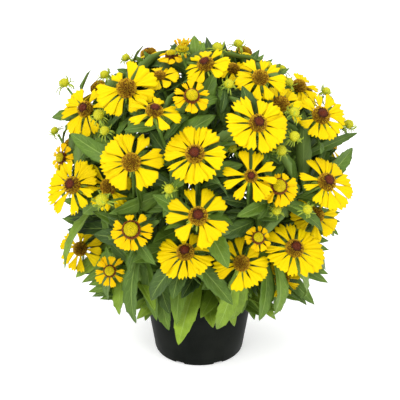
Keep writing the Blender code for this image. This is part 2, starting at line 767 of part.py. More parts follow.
def leaf_shape(leaf):
    """A lance-shaped blade with one or two coarse teeth and a raised fold along its midrib."""
    half = leaf["width"] * 0.5
    outline = [
        (0.00, 0.0, 0.0), (0.34, -half * 0.86, 0.0), (0.66, -half, 0.0), (0.71, -half * 0.66, 0.0),
        (1.0, 0.0, 0.0), (0.60, half * 0.74, 0.0), (0.46, half, 0.0),
    ]
    triangles = [(0, 1, 6), (1, 7, 6), (1, 2, 7), (2, 3, 7), (3, 4, 7), (4, 5, 7), (5, 6, 7)]
    if leaf["teeth"] == 1:
        outline[5:] = [(0.52, half * 0.95, 0.0)]
        triangles = [(0, 1, 5), (1, 6, 5), (1, 2, 6), (2, 3, 6), (3, 4, 6), (4, 5, 6)]
    inner = [(0.56, 0.0, -0.2 * MM)]

    def place(share, across, lift):
        return leaf_point(leaf, share, across, lift)

    return slab(outline, inner, triangles, LEAF_THICKNESS, place)


def tube_rings(path, start_radius, end_radius, sides, end_along=None):
    """The rings of a tapering rod of few sides along a path, and the walls between them."""
    points = []
    faces = []
    side = None
    count = len(path)
    for index, middle in enumerate(path):
        before = path[max(0, index - 1)]
        after = path[min(count - 1, index + 1)]
        along = (after - before).normalized()
        if end_along and index == count - 1:
            along = end_along
        if side is None:
            side = square_to(along)[0]
        side = (side - along * side.dot(along)).normalized()
        top = along.cross(side)
        radius = start_radius + (end_radius - start_radius) * index / (count - 1)
        for step in range(sides):
            angle = math.tau * (step + 0.5) / sides
            points.append(middle + (side * math.cos(angle) + top * math.sin(angle)) * radius)
    for ring in range(count - 1):
        for step in range(sides):
            other = (step + 1) % sides
            a, b = ring * sides + step, ring * sides + other
            faces.append((a, b, b + sides, a + sides))
    faces.append(tuple(reversed(range(sides))))
    return points, faces


def tube_shape(path, start_radius, end_radius, sides):
    """A closed tapering rod of few sides along a path."""
    points, faces = tube_rings(path, start_radius, end_radius, sides)
    first = len(points) - sides
    faces.append(tuple(first + step for step in range(sides)))
    return points, faces


def join_rings(points, faces, low, high):
    """Triangles between two rings of points with different counts, going round the same way."""
    def angle_of(index, ring):
        middle = sum((points[i] for i in ring), Vector()) / len(ring)
        return points[index] - middle

    start = angle_of(low[0], low)
    turns = [start.angle(angle_of(index, high)) for index in high]
    first = turns.index(min(turns))
    high = high[first:] + high[:first]
    i = j = 0
    while i < len(low) or j < len(high):
        a, b = low[i % len(low)], high[j % len(high)]
        if j * len(low) <= i * len(high) and j < len(high) or i >= len(low):
            j += 1
            faces.append((a, high[j % len(high)], b))
        else:
            i += 1
            faces.append((a, low[i % len(low)], b))


def stalk_with_star(tube, middle, facing, reach, drop, dip_reach, dip_drop):
    """A stalk that widens into a star of pointed bracts. Returns the star's ring as well."""
    path, start_radius, end_radius, sides = tube
    tips = BRACT_TIPS
    points, faces = tube_rings(path, start_radius, end_radius, sides, facing)
    low = list(range(len(points) - sides, len(points)))
    spoke = points[low[0]] - path[-1]
    side = (spoke - facing * spoke.dot(facing)).normalized()
    top = facing.cross(side)
    if facing.cross(side).dot(points[low[1]] - path[-1]) < 0.0:
        top = -top
    ring = []
    for step in range(tips * 2):
        angle = math.tau * step / (tips * 2)
        out = side * math.cos(angle) + top * math.sin(angle)
        far, back = (reach, drop) if step % 2 == 0 else (dip_reach, dip_drop)
        ring.append(len(points))
        points.append(middle + out * far - facing * back)
    join_rings(points, faces, low, ring)
    return points, faces, ring, side, top


def bud_shape(bud):
    """A bud on its stalk: a ball on a star of pointed green bracts that bend back."""
    tube, spot, facing, radius = bud
    points, faces, ring, side, top = stalk_with_star(
        tube, spot, facing, radius * 1.65, radius * 0.75, radius * 0.8, radius * 0.35)
    tips = len(ring) // 2
    ball = []
    for step in range(tips):
        angle = math.tau * (step + 0.5) / tips
        ball.append(len(points))
        points.append(spot + (side * math.cos(angle) + top * math.sin(angle)) * radius
                      + facing * radius * 0.3)
    last = len(points)
    points.append(spot + facing * radius * 0.95)
    for step in range(tips):
        tip, dip = ring[2 * step], ring[2 * step + 1]
        faces.append((tip, dip, ball[step]))
        faces.append((dip, ring[(2 * step + 2) % len(ring)], ball[step]))
        faces.append((tip, ball[step], ball[step - 1]))
        faces.append((ball[step], last, ball[step - 1]))
    return points, faces


def cup_shape(tube, bloom):
    """A branch and the green cup behind its bloom, with the cup's narrow bracts bent back."""
    points, faces, ring, _, _ = stalk_with_star(
        tube, bloom.foot(), bloom.facing, bloom.disc * 0.6, 2.8 * MM, 3.4 * MM, 1.0 * MM)
    middle = len(points)
    points.append(bloom.foot())
    for step, index in enumerate(ring):
        faces.append((index, ring[(step + 1) % len(ring)], middle))
    return points, faces


def bloom_shape(bloom):
    """Rays with lobed tips round a bumpy disc, as one closed sheet with the disc as a dome on it."""
    young = bloom.stage in (YOUNG, OPENING)
    plain = bloom.middle.y > 0.0 or bloom.radius < 28.0 * MM
    rays = 6 if young or plain else 7
    hub = bloom.disc * (0.44 if young else 0.36)
    half = BLOOM_THICKNESS * 0.5
    chance = random.Random(int(bloom.turn * 1e6))
    points = []
    faces = []

    def add(x, y, z):
        points.append((x, y, z))
        return len(points) - 1

    def around(angle, reach, level):
        return add(reach * math.cos(angle), reach * math.sin(angle), level)

    upper = [around(math.tau * i / rays, hub, half) for i in range(rays)]
    lower = [around(math.tau * i / rays, hub, -half) for i in range(rays)]
    for i in range(rays):
        j = (i + 1) % rays
        middle = math.tau * (i + 0.5) / rays
        reach = bloom.radius * chance.uniform(0.92, 1.0)
        wide = math.pi / rays * (0.55 if young else 0.78)
        droop = chance.uniform(-0.05, 0.02) * reach
        if young:
            shape = [(-wide, 0.92), (0.0, 1.0), (wide, 0.90)]
        else:
            shape = [(-wide, 0.93), (-wide * 0.36, 0.85), (-wide * 0.02, 1.0), (wide * 0.38, 0.84),
                     (wide, 0.92)]
            if plain:
                shape = [(-wide, 0.93), (-wide * 0.4, 0.86), (wide * 0.1, 1.0), (wide, 0.88)]
        top = [upper[i]]
        base = [lower[i]]
        for rank, (angle, share) in enumerate(shape):
            level = bloom.ray_height(reach * share) + droop + (0.8 * MM if rank % 2 == 0 else -0.4 * MM)
            top.append(around(middle + angle, reach * share, level + half))
            base.append(around(middle + angle, reach * share, level - half))
        top.append(upper[j])
        base.append(lower[j])
        size = len(top)
        for a, b, c in RAY_SHEETS[size]:
            faces.append((top[a], top[b], top[c]))
            faces.append((base[a], base[c], base[b]))
        for rank in range(size - 1):
            faces.append((top[rank + 1], top[rank], base[rank]))
            faces.append((top[rank + 1], base[rank], base[rank + 1]))
    rise = bloom.disc * (0.42 if young else 0.50)
    inner = [around(math.tau * i / rays, hub * 0.72, half + rise * 0.66) for i in range(rays)]
    for i in range(rays):
        j = (i + 1) % rays
        angle = math.tau * (i + 0.5) / rays
        bump = around(angle, bloom.disc * 0.54, half + rise * 0.46)
        for a, b in ((upper[i], upper[j]), (upper[j], inner[j]), (inner[j], inner[i]),
                     (inner[i], upper[i])):
            faces.append((a, b, bump))
    peak = around(0.0, 0.0, half + rise)
    for i in range(rays):
        faces.append((inner[i], inner[(i + 1) % rays], peak))
    floor = around(0.0, 0.0, -half)
    for i in range(rays):
        faces.append((lower[(i + 1) % rays], lower[i], floor))
    return points, faces


def turned(name, profile, sides, finish):
    """A round solid: a profile of radius and height, spun once round the upright axis."""
    shell = bmesh.new()
    corners = [shell.verts.new((radius, 0.0, height)) for radius, height in profile]
    for low, high in zip(corners, corners[1:]):
        shell.edges.new((low, high))
    bmesh.ops.spin(shell, geom=shell.verts[:] + shell.edges[:], cent=(0.0, 0.0, 0.0),
                   axis=(0.0, 0.0, 1.0), angle=math.tau, steps=sides, use_merge=True)
    bmesh.ops.remove_doubles(shell, verts=shell.verts, dist=0.00001)
    bmesh.ops.recalc_face_normals(shell, faces=shell.faces)
    mesh = bpy.data.meshes.new(name)
    shell.to_mesh(mesh)
    shell.free()
    mesh.materials.append(finish)
    made = bpy.data.objects.new(name, mesh)
    bpy.context.scene.collection.objects.link(made)
    return made


def pot_radius(height):
    """The pot's outer radius at a height."""
    return POT_FOOT_RADIUS + (POT_RIM_RADIUS - POT_FOOT_RADIUS) * height / POT_HEIGHT


def build_pot(finish):
    ring_inside = POT_FOOT_RADIUS - FOOT_RING_WIDTH
    floor = FOOT_HEIGHT + POT_BASE_THICKNESS
    profile = [
        (0.0, 0.0),
        (FOOT_PAD_RADIUS, 0.0),
        (FOOT_PAD_RADIUS + 1.0 * MM, FOOT_HEIGHT),
        (ring_inside - 0.5 * MM, FOOT_HEIGHT),
        (ring_inside, 0.0),
        (POT_FOOT_RADIUS - 1.2 * MM, 0.0),
        (pot_radius(1.6 * MM), 1.6 * MM),
        (pot_radius(POT_HEIGHT - POT_RIM_ROUNDING), POT_HEIGHT - POT_RIM_ROUNDING),
        (POT_RIM_RADIUS - POT_RIM_ROUNDING, POT_HEIGHT),
        (POT_RIM_RADIUS - POT_WALL, POT_HEIGHT),
        (pot_radius(floor) - POT_WALL, floor),
        (0.0, floor),
    ]
    pot = turned("pot", profile, POT_SIDES, finish)
    cutters = []
    for index in range(FOOT_NOTCHES):
        angle = math.tau * (index + 0.5) / FOOT_NOTCHES - math.pi / 2
        shape = [
            (-FOOT_NOTCH_WIDTH / 2, -1.0 * MM), (FOOT_NOTCH_WIDTH / 2, -1.0 * MM),
            (FOOT_NOTCH_WIDTH / 2 - 1.0 * MM, FOOT_NOTCH_HEIGHT),
            (1.0 * MM - FOOT_NOTCH_WIDTH / 2, FOOT_NOTCH_HEIGHT),
        ]
        out = Vector((math.cos(angle), math.sin(angle), 0.0))
        side = Vector((-out.y, out.x, 0.0))
        points = []
        for reach in (ring_inside - 3.0 * MM, POT_FOOT_RADIUS + 3.0 * MM):
            points += [out * reach + side * x + Vector((0.0, 0.0, z)) for x, z in shape]
        faces = [(0, 1, 2, 3), (7, 6, 5, 4), (0, 4, 5, 1), (1, 5, 6, 2), (2, 6, 7, 3), (3, 7, 4, 0)]
        cutters.append(make_object(f"notch_cutter_{index}", (points, faces), finish))
    apply_boolean(pot, cutters, "DIFFERENCE")
    tidy_shell(pot)
    shade_by_angle(pot)


def shade_by_angle(item):
    """Smooth walls with sharp rims: edges sharper than 40 degrees are marked."""
    mesh = item.data
    mesh.shade_smooth()
    edges = bmesh.new()
    edges.from_mesh(mesh)
    for edge in edges.edges:
        if len(edge.link_faces) == 2:
            edge.smooth = edge.calc_face_angle(0.0) < math.radians(40.0)
    edges.to_mesh(mesh)
    edges.free()


def build_soil(plan, finish):
    floor = FOOT_HEIGHT + POT_BASE_THICKNESS + GAP
    chance = random.Random(SEED + 1)
    wall = POT_WALL + GAP + 0.1 * MM
    profile = [
        (0.0, floor),
        (pot_radius(floor) - wall - 0.2 * MM, floor),
        (pot_radius(SOIL_TOP) - wall - 1.2 * MM, SOIL_TOP - 1.0 * MM),
        (24.0 * MM, SOIL_TOP + 1.0 * MM),
        (0.0, SOIL_TOP + 1.0 * MM),
    ]
    soil = turned("potting_soil", profile, POT_SIDES, finish)
    for corner in soil.data.vertices:
        if corner.co.z > SOIL_TOP - 0.5 * MM:
            corner.co.z += chance.uniform(-SOIL_ROUGHNESS, SOIL_ROUGHNESS)
    cutters = []
    for index, stem in enumerate(plan.stems):
        base = stem["base"]
        points = []
        for height in (SOIL_TOP - HOLE_DEPTH, SOIL_TOP + 8.0 * MM):
            for step in range(HOLE_SIDES):
                angle = math.tau * (step + 0.5) / HOLE_SIDES
                points.append((base.x + HOLE_RADIUS * math.cos(angle),
                               base.y + HOLE_RADIUS * math.sin(angle), height))
        sides = HOLE_SIDES
        faces = [tuple(reversed(range(sides))), tuple(range(sides, 2 * sides))]
        faces += [(i, (i + 1) % sides, (i + 1) % sides + sides, i + sides) for i in range(sides)]
        cutters.append(make_object(f"hole_cutter_{index}", (points, faces), finish))
    apply_boolean(soil, cutters, "DIFFERENCE")
    tidy_shell(soil)


def build_blooms(plan, finish):
    for index, bloom in enumerate(plan.blooms):
        made = make_object(f"bloom_{index + 1:02d}", bloom_shape(bloom), finish)
        made.matrix_world = Matrix.LocRotScale(bloom.middle, bloom.turned(), None)


def build_stem(name, stem, finish):
    parts = [tube_shape(*tube) for tube in stem["tubes"]]
    parts += [leaf_shape(leaf) for leaf in stem["leaves"]]
    parts += [cup_shape(tube, bloom) for tube, bloom in stem["cups"]]
    parts += [bud_shape(bud) for bud in stem["buds"]]
    made = [make_object(f"{name}_part_{index}", part, finish) for index, part in enumerate(parts)]
    target = made[0]
    apply_boolean(target, made[1:], "UNION")
    target.name = name
    target.data.name = name
    tidy_shell(target)
    target.data.transform(Matrix.Translation(-stem["base"]))
    target.location = stem["base"]


def largest_only(shell):
    """Drops loose scraps that touch nothing after a union."""
    shell.verts.ensure_lookup_table()
    seen = set()
    groups = []
    for vertex in shell.verts:
        if vertex.index in seen:
            continue
        group = [vertex]
        seen.add(vertex.index)
        for current in group:
            for edge in current.link_edges:
                other = edge.other_vert(current)
                if other.index not in seen:
                    seen.add(other.index)
                    group.append(other)
        groups.append(group)
    groups.sort(key=len)
    for group in groups[:-1]:
        bmesh.ops.delete(shell, geom=group, context="VERTS")


def tidy_shell(item):
    """Joins flat faces that a Boolean split, then cuts all into triangles with every edge shared by two."""
    best = None
    for degrees in (0.4, 0.1, 0.0):
        for quads in ("SHORT_EDGE", "FIXED", "ALTERNATE"):
            for ngons in ("BEAUTY", "EAR_CLIP"):
                shell = bmesh.new()
                shell.from_mesh(item.data)
                if degrees:
                    bmesh.ops.dissolve_limit(shell, angle_limit=math.radians(degrees),
                                             verts=shell.verts, edges=shell.edges)
                largest_only(shell)
                bmesh.ops.triangulate(shell, faces=shell.faces, quad_method=quads,
                                      ngon_method=ngons)
                faults = sum(len(edge.link_faces) != 2 for edge in shell.edges)
                if best is None or faults < best[0]:
                    if best:
                        best[1].free()
                    best = (faults, shell)
                else:
                    shell.free()
                if best[0] == 0:
                    best[1].to_mesh(item.data)
                    best[1].free()
                    return
    best[1].to_mesh(item.data)
    best[1].free()


def main():
    clear_scene()
    black = material("black_plastic", (0.012, 0.012, 0.013), 0.55)
    brown = material("potting_soil", (0.045, 0.026, 0.016), 0.95)
    yellow = material("yellow_petals", (0.95, 0.70, 0.01), 0.6)
    green = material("green_leaves", (0.08, 0.19, 0.035), 0.6)
    plan = Plan()
    build_pot(black)
    build_soil(plan, brown)
    build_blooms(plan, yellow)
    for index, stem in enumerate(plan.stems):
        build_stem(f"leafy_stem_{index + 1:02d}", stem, green)
    whole = bpy.data.objects.new("potted_sneezeweed", None)
    bpy.context.scene.collection.objects.link(whole)
    for item in list(bpy.data.objects):
        if item.type == "MESH":
            item.parent = whole
    return plan


PLAN = main()
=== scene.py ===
"""Finished looks of a potted yellow sneezeweed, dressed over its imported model.

Metres, +Z up. The side seen in the photograph faces -Y and +X is to its right. The bush is planned by
the same rule as the model's own stems, leaves, buds and blooms, so each finer piece lies on its node.
"""

import json
import logging
import math
import random
from collections.abc import Callable, Iterator
from dataclasses import dataclass, field, fields, replace
from enum import Enum

import bmesh
import bpy
import numpy as np
from mathutils import Matrix, Vector

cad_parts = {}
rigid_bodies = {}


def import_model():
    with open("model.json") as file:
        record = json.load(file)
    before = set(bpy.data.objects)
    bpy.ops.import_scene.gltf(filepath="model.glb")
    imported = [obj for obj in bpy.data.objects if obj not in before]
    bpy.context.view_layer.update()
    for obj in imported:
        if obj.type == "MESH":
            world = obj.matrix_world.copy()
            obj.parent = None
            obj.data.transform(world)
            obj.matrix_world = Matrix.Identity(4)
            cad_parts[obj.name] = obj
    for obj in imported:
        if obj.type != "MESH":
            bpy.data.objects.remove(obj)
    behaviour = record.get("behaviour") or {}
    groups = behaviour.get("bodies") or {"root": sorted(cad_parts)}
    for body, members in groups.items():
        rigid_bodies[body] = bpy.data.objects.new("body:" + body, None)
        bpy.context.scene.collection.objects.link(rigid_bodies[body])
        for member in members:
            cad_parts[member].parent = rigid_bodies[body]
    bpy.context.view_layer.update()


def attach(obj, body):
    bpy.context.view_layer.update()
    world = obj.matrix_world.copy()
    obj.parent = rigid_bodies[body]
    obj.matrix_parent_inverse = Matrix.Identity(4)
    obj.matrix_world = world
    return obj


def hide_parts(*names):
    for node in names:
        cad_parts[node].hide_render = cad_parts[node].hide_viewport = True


log = logging.getLogger("potted_sneezeweed")

Object = bpy.types.Object
Material = bpy.types.Material
Socket = bpy.types.NodeSocket
Surface = tuple[Socket, Socket]

MM = 0.001
SEED = 20
GOLDEN_TURN = math.pi * (3.0 - math.sqrt(5.0))
UV_NAME = "along_and_across"
TONE_NAME = "tone"

# The pot and the soil
POT_HEIGHT = 73.0 * MM
POT_RIM_RADIUS = 60.0 * MM
POT_FOOT_RADIUS = 48.5 * MM
POT_WALL = 1.5 * MM
POT_FLOOR = 5.0 * MM
FOOT_NOTCHES = 7
SOIL_TOP = 63.0 * MM
HOLE_DEPTH = 12.0 * MM
GAP = 0.3 * MM

# The stems
STEM_RADIUS = 2.3 * MM
BRANCH_RADIUS = 1.7 * MM
STALK_RADIUS = 1.2 * MM
STEM_RING = 33.0 * MM
STEM_INNER_RING = 12.0 * MM
OUTER_STEM_AZIMUTHS = (-165, -130, -106, -82, -56, -28, 12, 58, 112, 152)
INNER_STEM_AZIMUTHS = (-90, 90)
INNER_REACH = 66.0 * MM

# The blooms
BLOOM_THICKNESS = 0.8 * MM
CUP_BRACTS = 15
BACK_BLOOM_RADIUS = 30.0 * MM
# Rows of blooms on the hidden back: height as a share of the crown, how many, first azimuth and span
BACK_ROWS = ((0.86, 2, 60, 70), (0.56, 4, 22, 134), (0.18, 4, 14, 152), (-0.20, 3, 38, 104))

# The leaves
LEAF_LENGTH = 64.0 * MM
LEAF_WIDTH = 20.0 * MM
FRONT_LEAVES = 8
BACK_LEAVES = 6
FILLING_LEAVES = 44
BACK_BUDS = 9
# Leaves that reach out over the pot's rim: azimuth of the root, how far the tip is turned from it,
# and how far out and how high the tip is in millimetres
SKIRT_LEAVES = (
    (-152, -6, 92, 78), (-141, 8, 84, 64), (-131, -8, 94, 84), (-122, 10, 84, 62),
    (-113, -10, 88, 82), (-105, 8, 82, 66), (-98, -12, 90, 86), (-90, 10, 84, 68),
    (-83, -6, 90, 84), (-75, 12, 82, 64), (-67, 6, 92, 84), (-58, -10, 84, 66),
    (-50, 8, 92, 84), (-41, -6, 86, 66), (-32, 8, 94, 84), (0, 0, 90, 76), (30, 8, 90, 66),
    (62, -8, 90, 78), (92, 8, 90, 66), (124, -8, 90, 78), (156, 8, 90, 66), (180, -6, 92, 78),
)
SKIRT_WIDTH = 18.0 * MM
SKIRT_ROOTS = (82.0 * MM, 135.0 * MM)
SEEN_WIDENING = 1.18

# How the photograph sees it
SIGHT_ANGLE = math.radians(25.0)
SIGHT_DISTANCE = 1452.0 * MM
SIGHT_TARGET = Vector((0.0, 0.0, 177.0 * MM))
SIGHT_FOCUS = 1360.0 / 400.0
ACROSS = Vector((1.0, 0.0, 0.0))
UP_PAGE = Vector((0.0, math.sin(SIGHT_ANGLE), math.cos(SIGHT_ANGLE)))
TO_EYE = Vector((0.0, -math.cos(SIGHT_ANGLE), math.sin(SIGHT_ANGLE)))
EYE = SIGHT_TARGET + TO_EYE * SIGHT_DISTANCE

# The round crown on which the blooms sit
CROWN_SHIFT = 2.0 * MM
CROWN_MIDDLE = Vector((CROWN_SHIFT, 0.0, 205.0 * MM))
CROWN_RADII = Vector((150.0 * MM, 125.0 * MM, 148.0 * MM))


class Stage(Enum):
    """How far a bloom has opened."""

    FULL = "full"
    CAPPED = "capped"
    YOUNG = "young"
    OPENING = "opening"


class FloretKind(Enum):
    """The colour of a disc's florets, as the second tone of its points."""

    OCHRE = 0.0
    BROWN = 0.40
    MAROON = 0.5
    LIME = 1.0


class Owner(Enum):
    """Who takes up room in the plan, where it isn't a stem or a bloom."""

    POT = 1
    SOIL = 2


# Blooms seen in the photograph, the nearest first. Millimetres right of and above the middle of the
# sight plane, radius, disc width, stage, lean to the right, lean up, and millimetres nearer the eye.
SEEN_BLOOMS = (
    (-72, 40, 32, 19, Stage.FULL, -0.05, 0.10, 4),
    (-4, 48, 31, 19, Stage.CAPPED, -0.10, 0.30, 4),
    (-1, -18, 32, 19, Stage.CAPPED, 0.00, 0.30, 8),
    (-14, -57, 30, 18, Stage.CAPPED, -0.15, 0.50, 0),
    (45, -68, 29, 17, Stage.FULL, 0.10, 0.20, 0),
    (101, -53, 32, 19, Stage.CAPPED, 0.28, 0.45, 4),
    (-72, -32, 22, 17, Stage.YOUNG, -0.10, 0.15, 6),
    (-134, 15, 29, 18, Stage.CAPPED, -0.40, 0.25, 10),
    (135, 18, 30, 19, Stage.CAPPED, 0.40, 0.40, 10),
    (55, 25, 28, 13, Stage.CAPPED, 0.10, 0.20, 4),
    (85, 14, 21, 15, Stage.YOUNG, 0.15, 0.20, 0),
    (62, 81, 32, 18, Stage.CAPPED, 0.25, 0.30, 10),
    (129, 89, 27, 19, Stage.CAPPED, 0.30, 0.40, 6),
    (-77, 118, 32, 20, Stage.FULL, -0.10, 0.25, 10),
    (-120, 96, 30, 17, Stage.CAPPED, -0.45, 0.30, 0),
    (-48, 93, 27, 17, Stage.CAPPED, 0.15, 0.72, 0),
    (-95, -76, 18, 12, Stage.YOUNG, -0.10, 0.10, 4),
    (65, 129, 28, 17, Stage.FULL, 0.10, 0.45, 0),
    (-8, 110, 19, 14, Stage.YOUNG, 0.10, 0.35, 0),
    (63, -41, 14, 12, Stage.YOUNG, 0.10, 0.30, -4),
    (8, 143, 25, 17, Stage.CAPPED, -0.30, 0.62, 0),
    (-18, 160, 14, 12, Stage.OPENING, 0.00, 0.93, 2),
    (36, 138, 23, 14, Stage.FULL, 0.10, 0.80, -6),
    (-42, 130, 23, 14, Stage.FULL, -0.20, 0.80, -16),
    (-29, 153, 17, 12, Stage.YOUNG, -0.15, 0.85, -24),
    (87, 101, 26, 17, Stage.FULL, 0.20, 0.50, -14),
    (-97, 14, 27, 17, Stage.FULL, 0.10, 0.15, -26),
    (-126, -52, 27, 16, Stage.FULL, -0.30, 0.00, -10),
    (124, -17, 28, 17, Stage.FULL, 0.30, 0.10, -12),
    (88, -84, 24, 16, Stage.FULL, 0.20, -0.20, -10),
    (-146, 45, 16, 12, Stage.YOUNG, -0.60, 0.10, -4),
    (106, 120, 24, 16, Stage.FULL, 0.30, 0.60, -30),
)

# Small leaves close what one could see through: the grid of sight lines, how many millimetres before or
# behind the bush's middle a leaf is tried, how much of the crown's radii is looked at, and the share of
# such a leaf that may touch other leaves
GAP_STEP = 4.0 * MM
GAP_COLUMNS = range(-34, 35)
GAP_ROWS = range(-38, 35)
GAP_DEPTHS = (0, -20, 20, -40, 40, -60, 60, -80)
FAR_AWAY = 40.0
LINE_REACH = 0.19
LINE_STEP = 0.001
INNER_CROWN = 0.93
TOUCHING = 0.6
SMALL_WIDTH = 16.0 * MM
SMALL_DROOP = 0.7
SMALL_ROOTS = tuple(step / 12 for step in (3, 5, 7, 9, 11))
PAST_SPOT = 12.0 * MM
BLADE_SPACING = 1.1 * MM
# The bush from any other side, under its round crown: the heights looked at, the half width from the
# lowest one and how it grows up to the waist, and the half width above the waist
UNDER_CROWN = (80.0 * MM, 150.0 * MM)
UNDER_WIDTH = 50.0 * MM
UNDER_SPREAD = 2.6
WAIST = 100.0 * MM
WAIST_WIDTH = 102.0 * MM
# Where the tip of a small leaf stands out of the bush: below, beside and beyond a share of the crown
TIP_LOW = 76.0 * MM
TIP_WIDE = 106.0 * MM
TIP_CROWN = 0.90
# Bands of the photograph below the round crown that are full of leaves: lowest, highest, half width
SKIRT_BANDS = (
    (-30.0 * MM, 0.0, 136.0 * MM), (-84.0 * MM, -30.0 * MM, 124.0 * MM),
    (-104.0 * MM, -84.0 * MM, 113.0 * MM), (-120.0 * MM, -104.0 * MM, 80.0 * MM),
)
# The other sides looked at: their azimuths in degrees, and how far a sight line rises for its run
SIDES = (-45, 0, 45, 90, 135, 180, 225)
SLOPES = (0.06, 0.45)

# The rays of the nearest blooms, by the bloom's number: the way each points on the page in degrees, 0 to
# the right and 90 up, and factors on its width and its length.
SEEN_RAYS = {
    1: ((115, 0.8, 1.0), (98, 0.9, 0.9), (60, 1.0, 0.95), (21, 0.9, 1.0), (-3, 0.85, 1.0),
        (-40, 1.35, 0.95), (-62, 1.0, 0.92), (240, 1.4, 0.92), (211, 1.1, 0.95), (188, 0.9, 1.0),
        (167, 1.0, 1.0), (143, 1.2, 0.95)),
    2: ((46, 1.1, 1.0), (67, 0.7, 1.0), (85, 0.9, 0.95), (105, 0.9, 1.0), (121, 0.9, 1.0),
        (146, 1.0, 0.98), (160, 0.8, 1.0), (180, 1.1, 1.0), (206, 0.5, 0.98), (232, 1.1, 1.0),
        (258, 1.1, 0.95), (281, 1.1, 0.95), (304, 1.1, 0.95), (340, 1.0, 0.92), (8, 1.0, 0.98)),
    3: ((69, 0.95, 0.98), (33, 1.15, 0.98), (-22, 1.15, 1.0), (-50, 1.2, 0.95), (-73, 1.2, 1.0),
        (228, 1.15, 0.92), (183, 0.95, 1.0), (153, 1.0, 1.0), (109, 1.1, 0.98)),
    4: ((150, 1.0, 1.0), (168, 1.1, 1.0), (189, 1.1, 1.0), (211, 1.1, 1.0), (234, 0.9, 1.0),
        (261, 0.85, 0.95), (291, 1.0, 0.95), (316, 1.0, 0.95), (342, 1.0, 1.0), (20, 1.0, 0.9),
        (60, 1.0, 0.8), (100, 1.0, 0.8)),
    5: ((95, 0.85, 0.98), (125, 0.8, 0.95), (151, 0.8, 0.95), (186, 1.0, 1.0), (207, 0.8, 0.92),
        (262, 1.1, 0.98), (288, 0.9, 0.9), (316, 1.1, 0.95), (338, 1.0, 1.0), (2, 1.0, 0.98),
        (43, 1.1, 0.76)),
    6: ((93, 0.85, 0.95), (122, 1.0, 1.0), (150, 1.0, 1.0), (178, 0.7, 1.0), (204, 1.1, 0.95),
        (232, 1.0, 0.9), (267, 0.85, 0.92), (303, 1.2, 0.98), (327, 1.2, 1.08), (349, 1.2, 1.10),
        (10, 1.2, 1.06), (30, 1.1, 0.98), (57, 0.8, 0.9)),
    7: ((165, 1.4, 0.9), (196, 1.2, 0.98), (227, 1.3, 1.0), (254, 1.1, 0.98), (276, 1.0, 0.95),
        (312, 1.0, 0.95), (340, 0.7, 1.0), (5, 1.0, 1.0), (47, 0.9, 0.9), (98, 1.1, 0.7)),
    8: ((79, 0.8, 1.0), (104, 1.2, 0.95), (135, 1.2, 1.0), (164, 1.2, 1.0), (188, 1.0, 1.06),
        (210, 1.1, 1.14), (233, 1.1, 1.14), (273, 0.9, 1.05), (300, 0.8, 0.9), (338, 0.8, 0.9),
        (18, 0.9, 0.9), (40, 1.0, 1.0), (60, 1.2, 1.0)),
    9: ((121, 1.0, 1.0), (101, 1.0, 1.0), (77, 1.1, 0.95), (46, 1.2, 0.98), (8, 1.2, 1.08),
        (338, 1.1, 1.12), (314, 1.1, 1.08), (288, 1.2, 1.0), (268, 0.9, 0.9), (240, 0.8, 0.95),
        (194, 0.6, 0.9), (164, 0.8, 1.0)),
    10: ((107, 0.9, 0.98), (71, 1.0, 0.98), (30, 0.9, 1.0), (350, 0.6, 0.95), (318, 0.9, 0.95),
         (290, 1.0, 0.95), (238, 1.1, 0.98), (198, 0.8, 1.0), (166, 0.9, 1.0)),
    11: ((148, 1.1, 0.8), (176, 1.2, 1.0), (196, 1.1, 1.0), (227, 1.2, 0.95), (268, 1.1, 0.98),
         (292, 1.2, 0.98), (320, 1.1, 0.95), (345, 1.2, 0.95), (14, 1.3, 0.95), (55, 1.0, 0.7),
         (95, 1.0, 0.65)),
    12: ((165, 0.9, 1.0), (136, 1.1, 1.0), (115, 0.9, 1.0), (194, 1.1, 0.98), (224, 1.2, 0.95),
         (250, 1.0, 0.92), (283, 0.9, 0.95), (309, 1.1, 0.95), (336, 1.2, 0.98), (0, 1.2, 1.0),
         (23, 1.2, 1.0), (42, 1.1, 0.95), (74, 1.0, 0.85)),
    13: ((88, 0.9, 1.0), (54, 1.2, 1.10), (22, 1.2, 1.14), (0, 1.2, 1.12), (329, 1.2, 1.0),
         (303, 1.0, 1.0), (278, 1.1, 0.95), (245, 1.0, 0.95), (208, 1.0, 0.9), (147, 1.2, 1.0),
         (126, 1.2, 0.95)),
    14: ((126, 1.0, 0.66), (76, 0.85, 0.95), (44, 1.3, 0.95), (22, 1.2, 1.0), (345, 1.0, 0.9),
         (184, 1.3, 1.0), (201, 1.3, 1.0), (229, 0.9, 0.98), (248, 0.8, 0.9), (292, 1.0, 0.8),
         (322, 1.0, 0.8)),
    15: ((120, 1.0, 0.95), (149, 1.2, 1.0), (174, 1.2, 1.0), (192, 1.0, 1.0), (224, 1.3, 1.0),
         (243, 1.1, 1.0), (270, 0.9, 0.95), (296, 0.9, 0.95), (20, 1.0, 0.9), (60, 1.0, 0.8)),
    16: ((155, 0.9, 1.0), (136, 0.9, 1.0), (74, 1.1, 1.0), (12, 0.9, 0.95), (347, 1.1, 1.0),
         (305, 1.0, 0.98), (200, 1.1, 1.0), (250, 0.7, 0.8)),
}

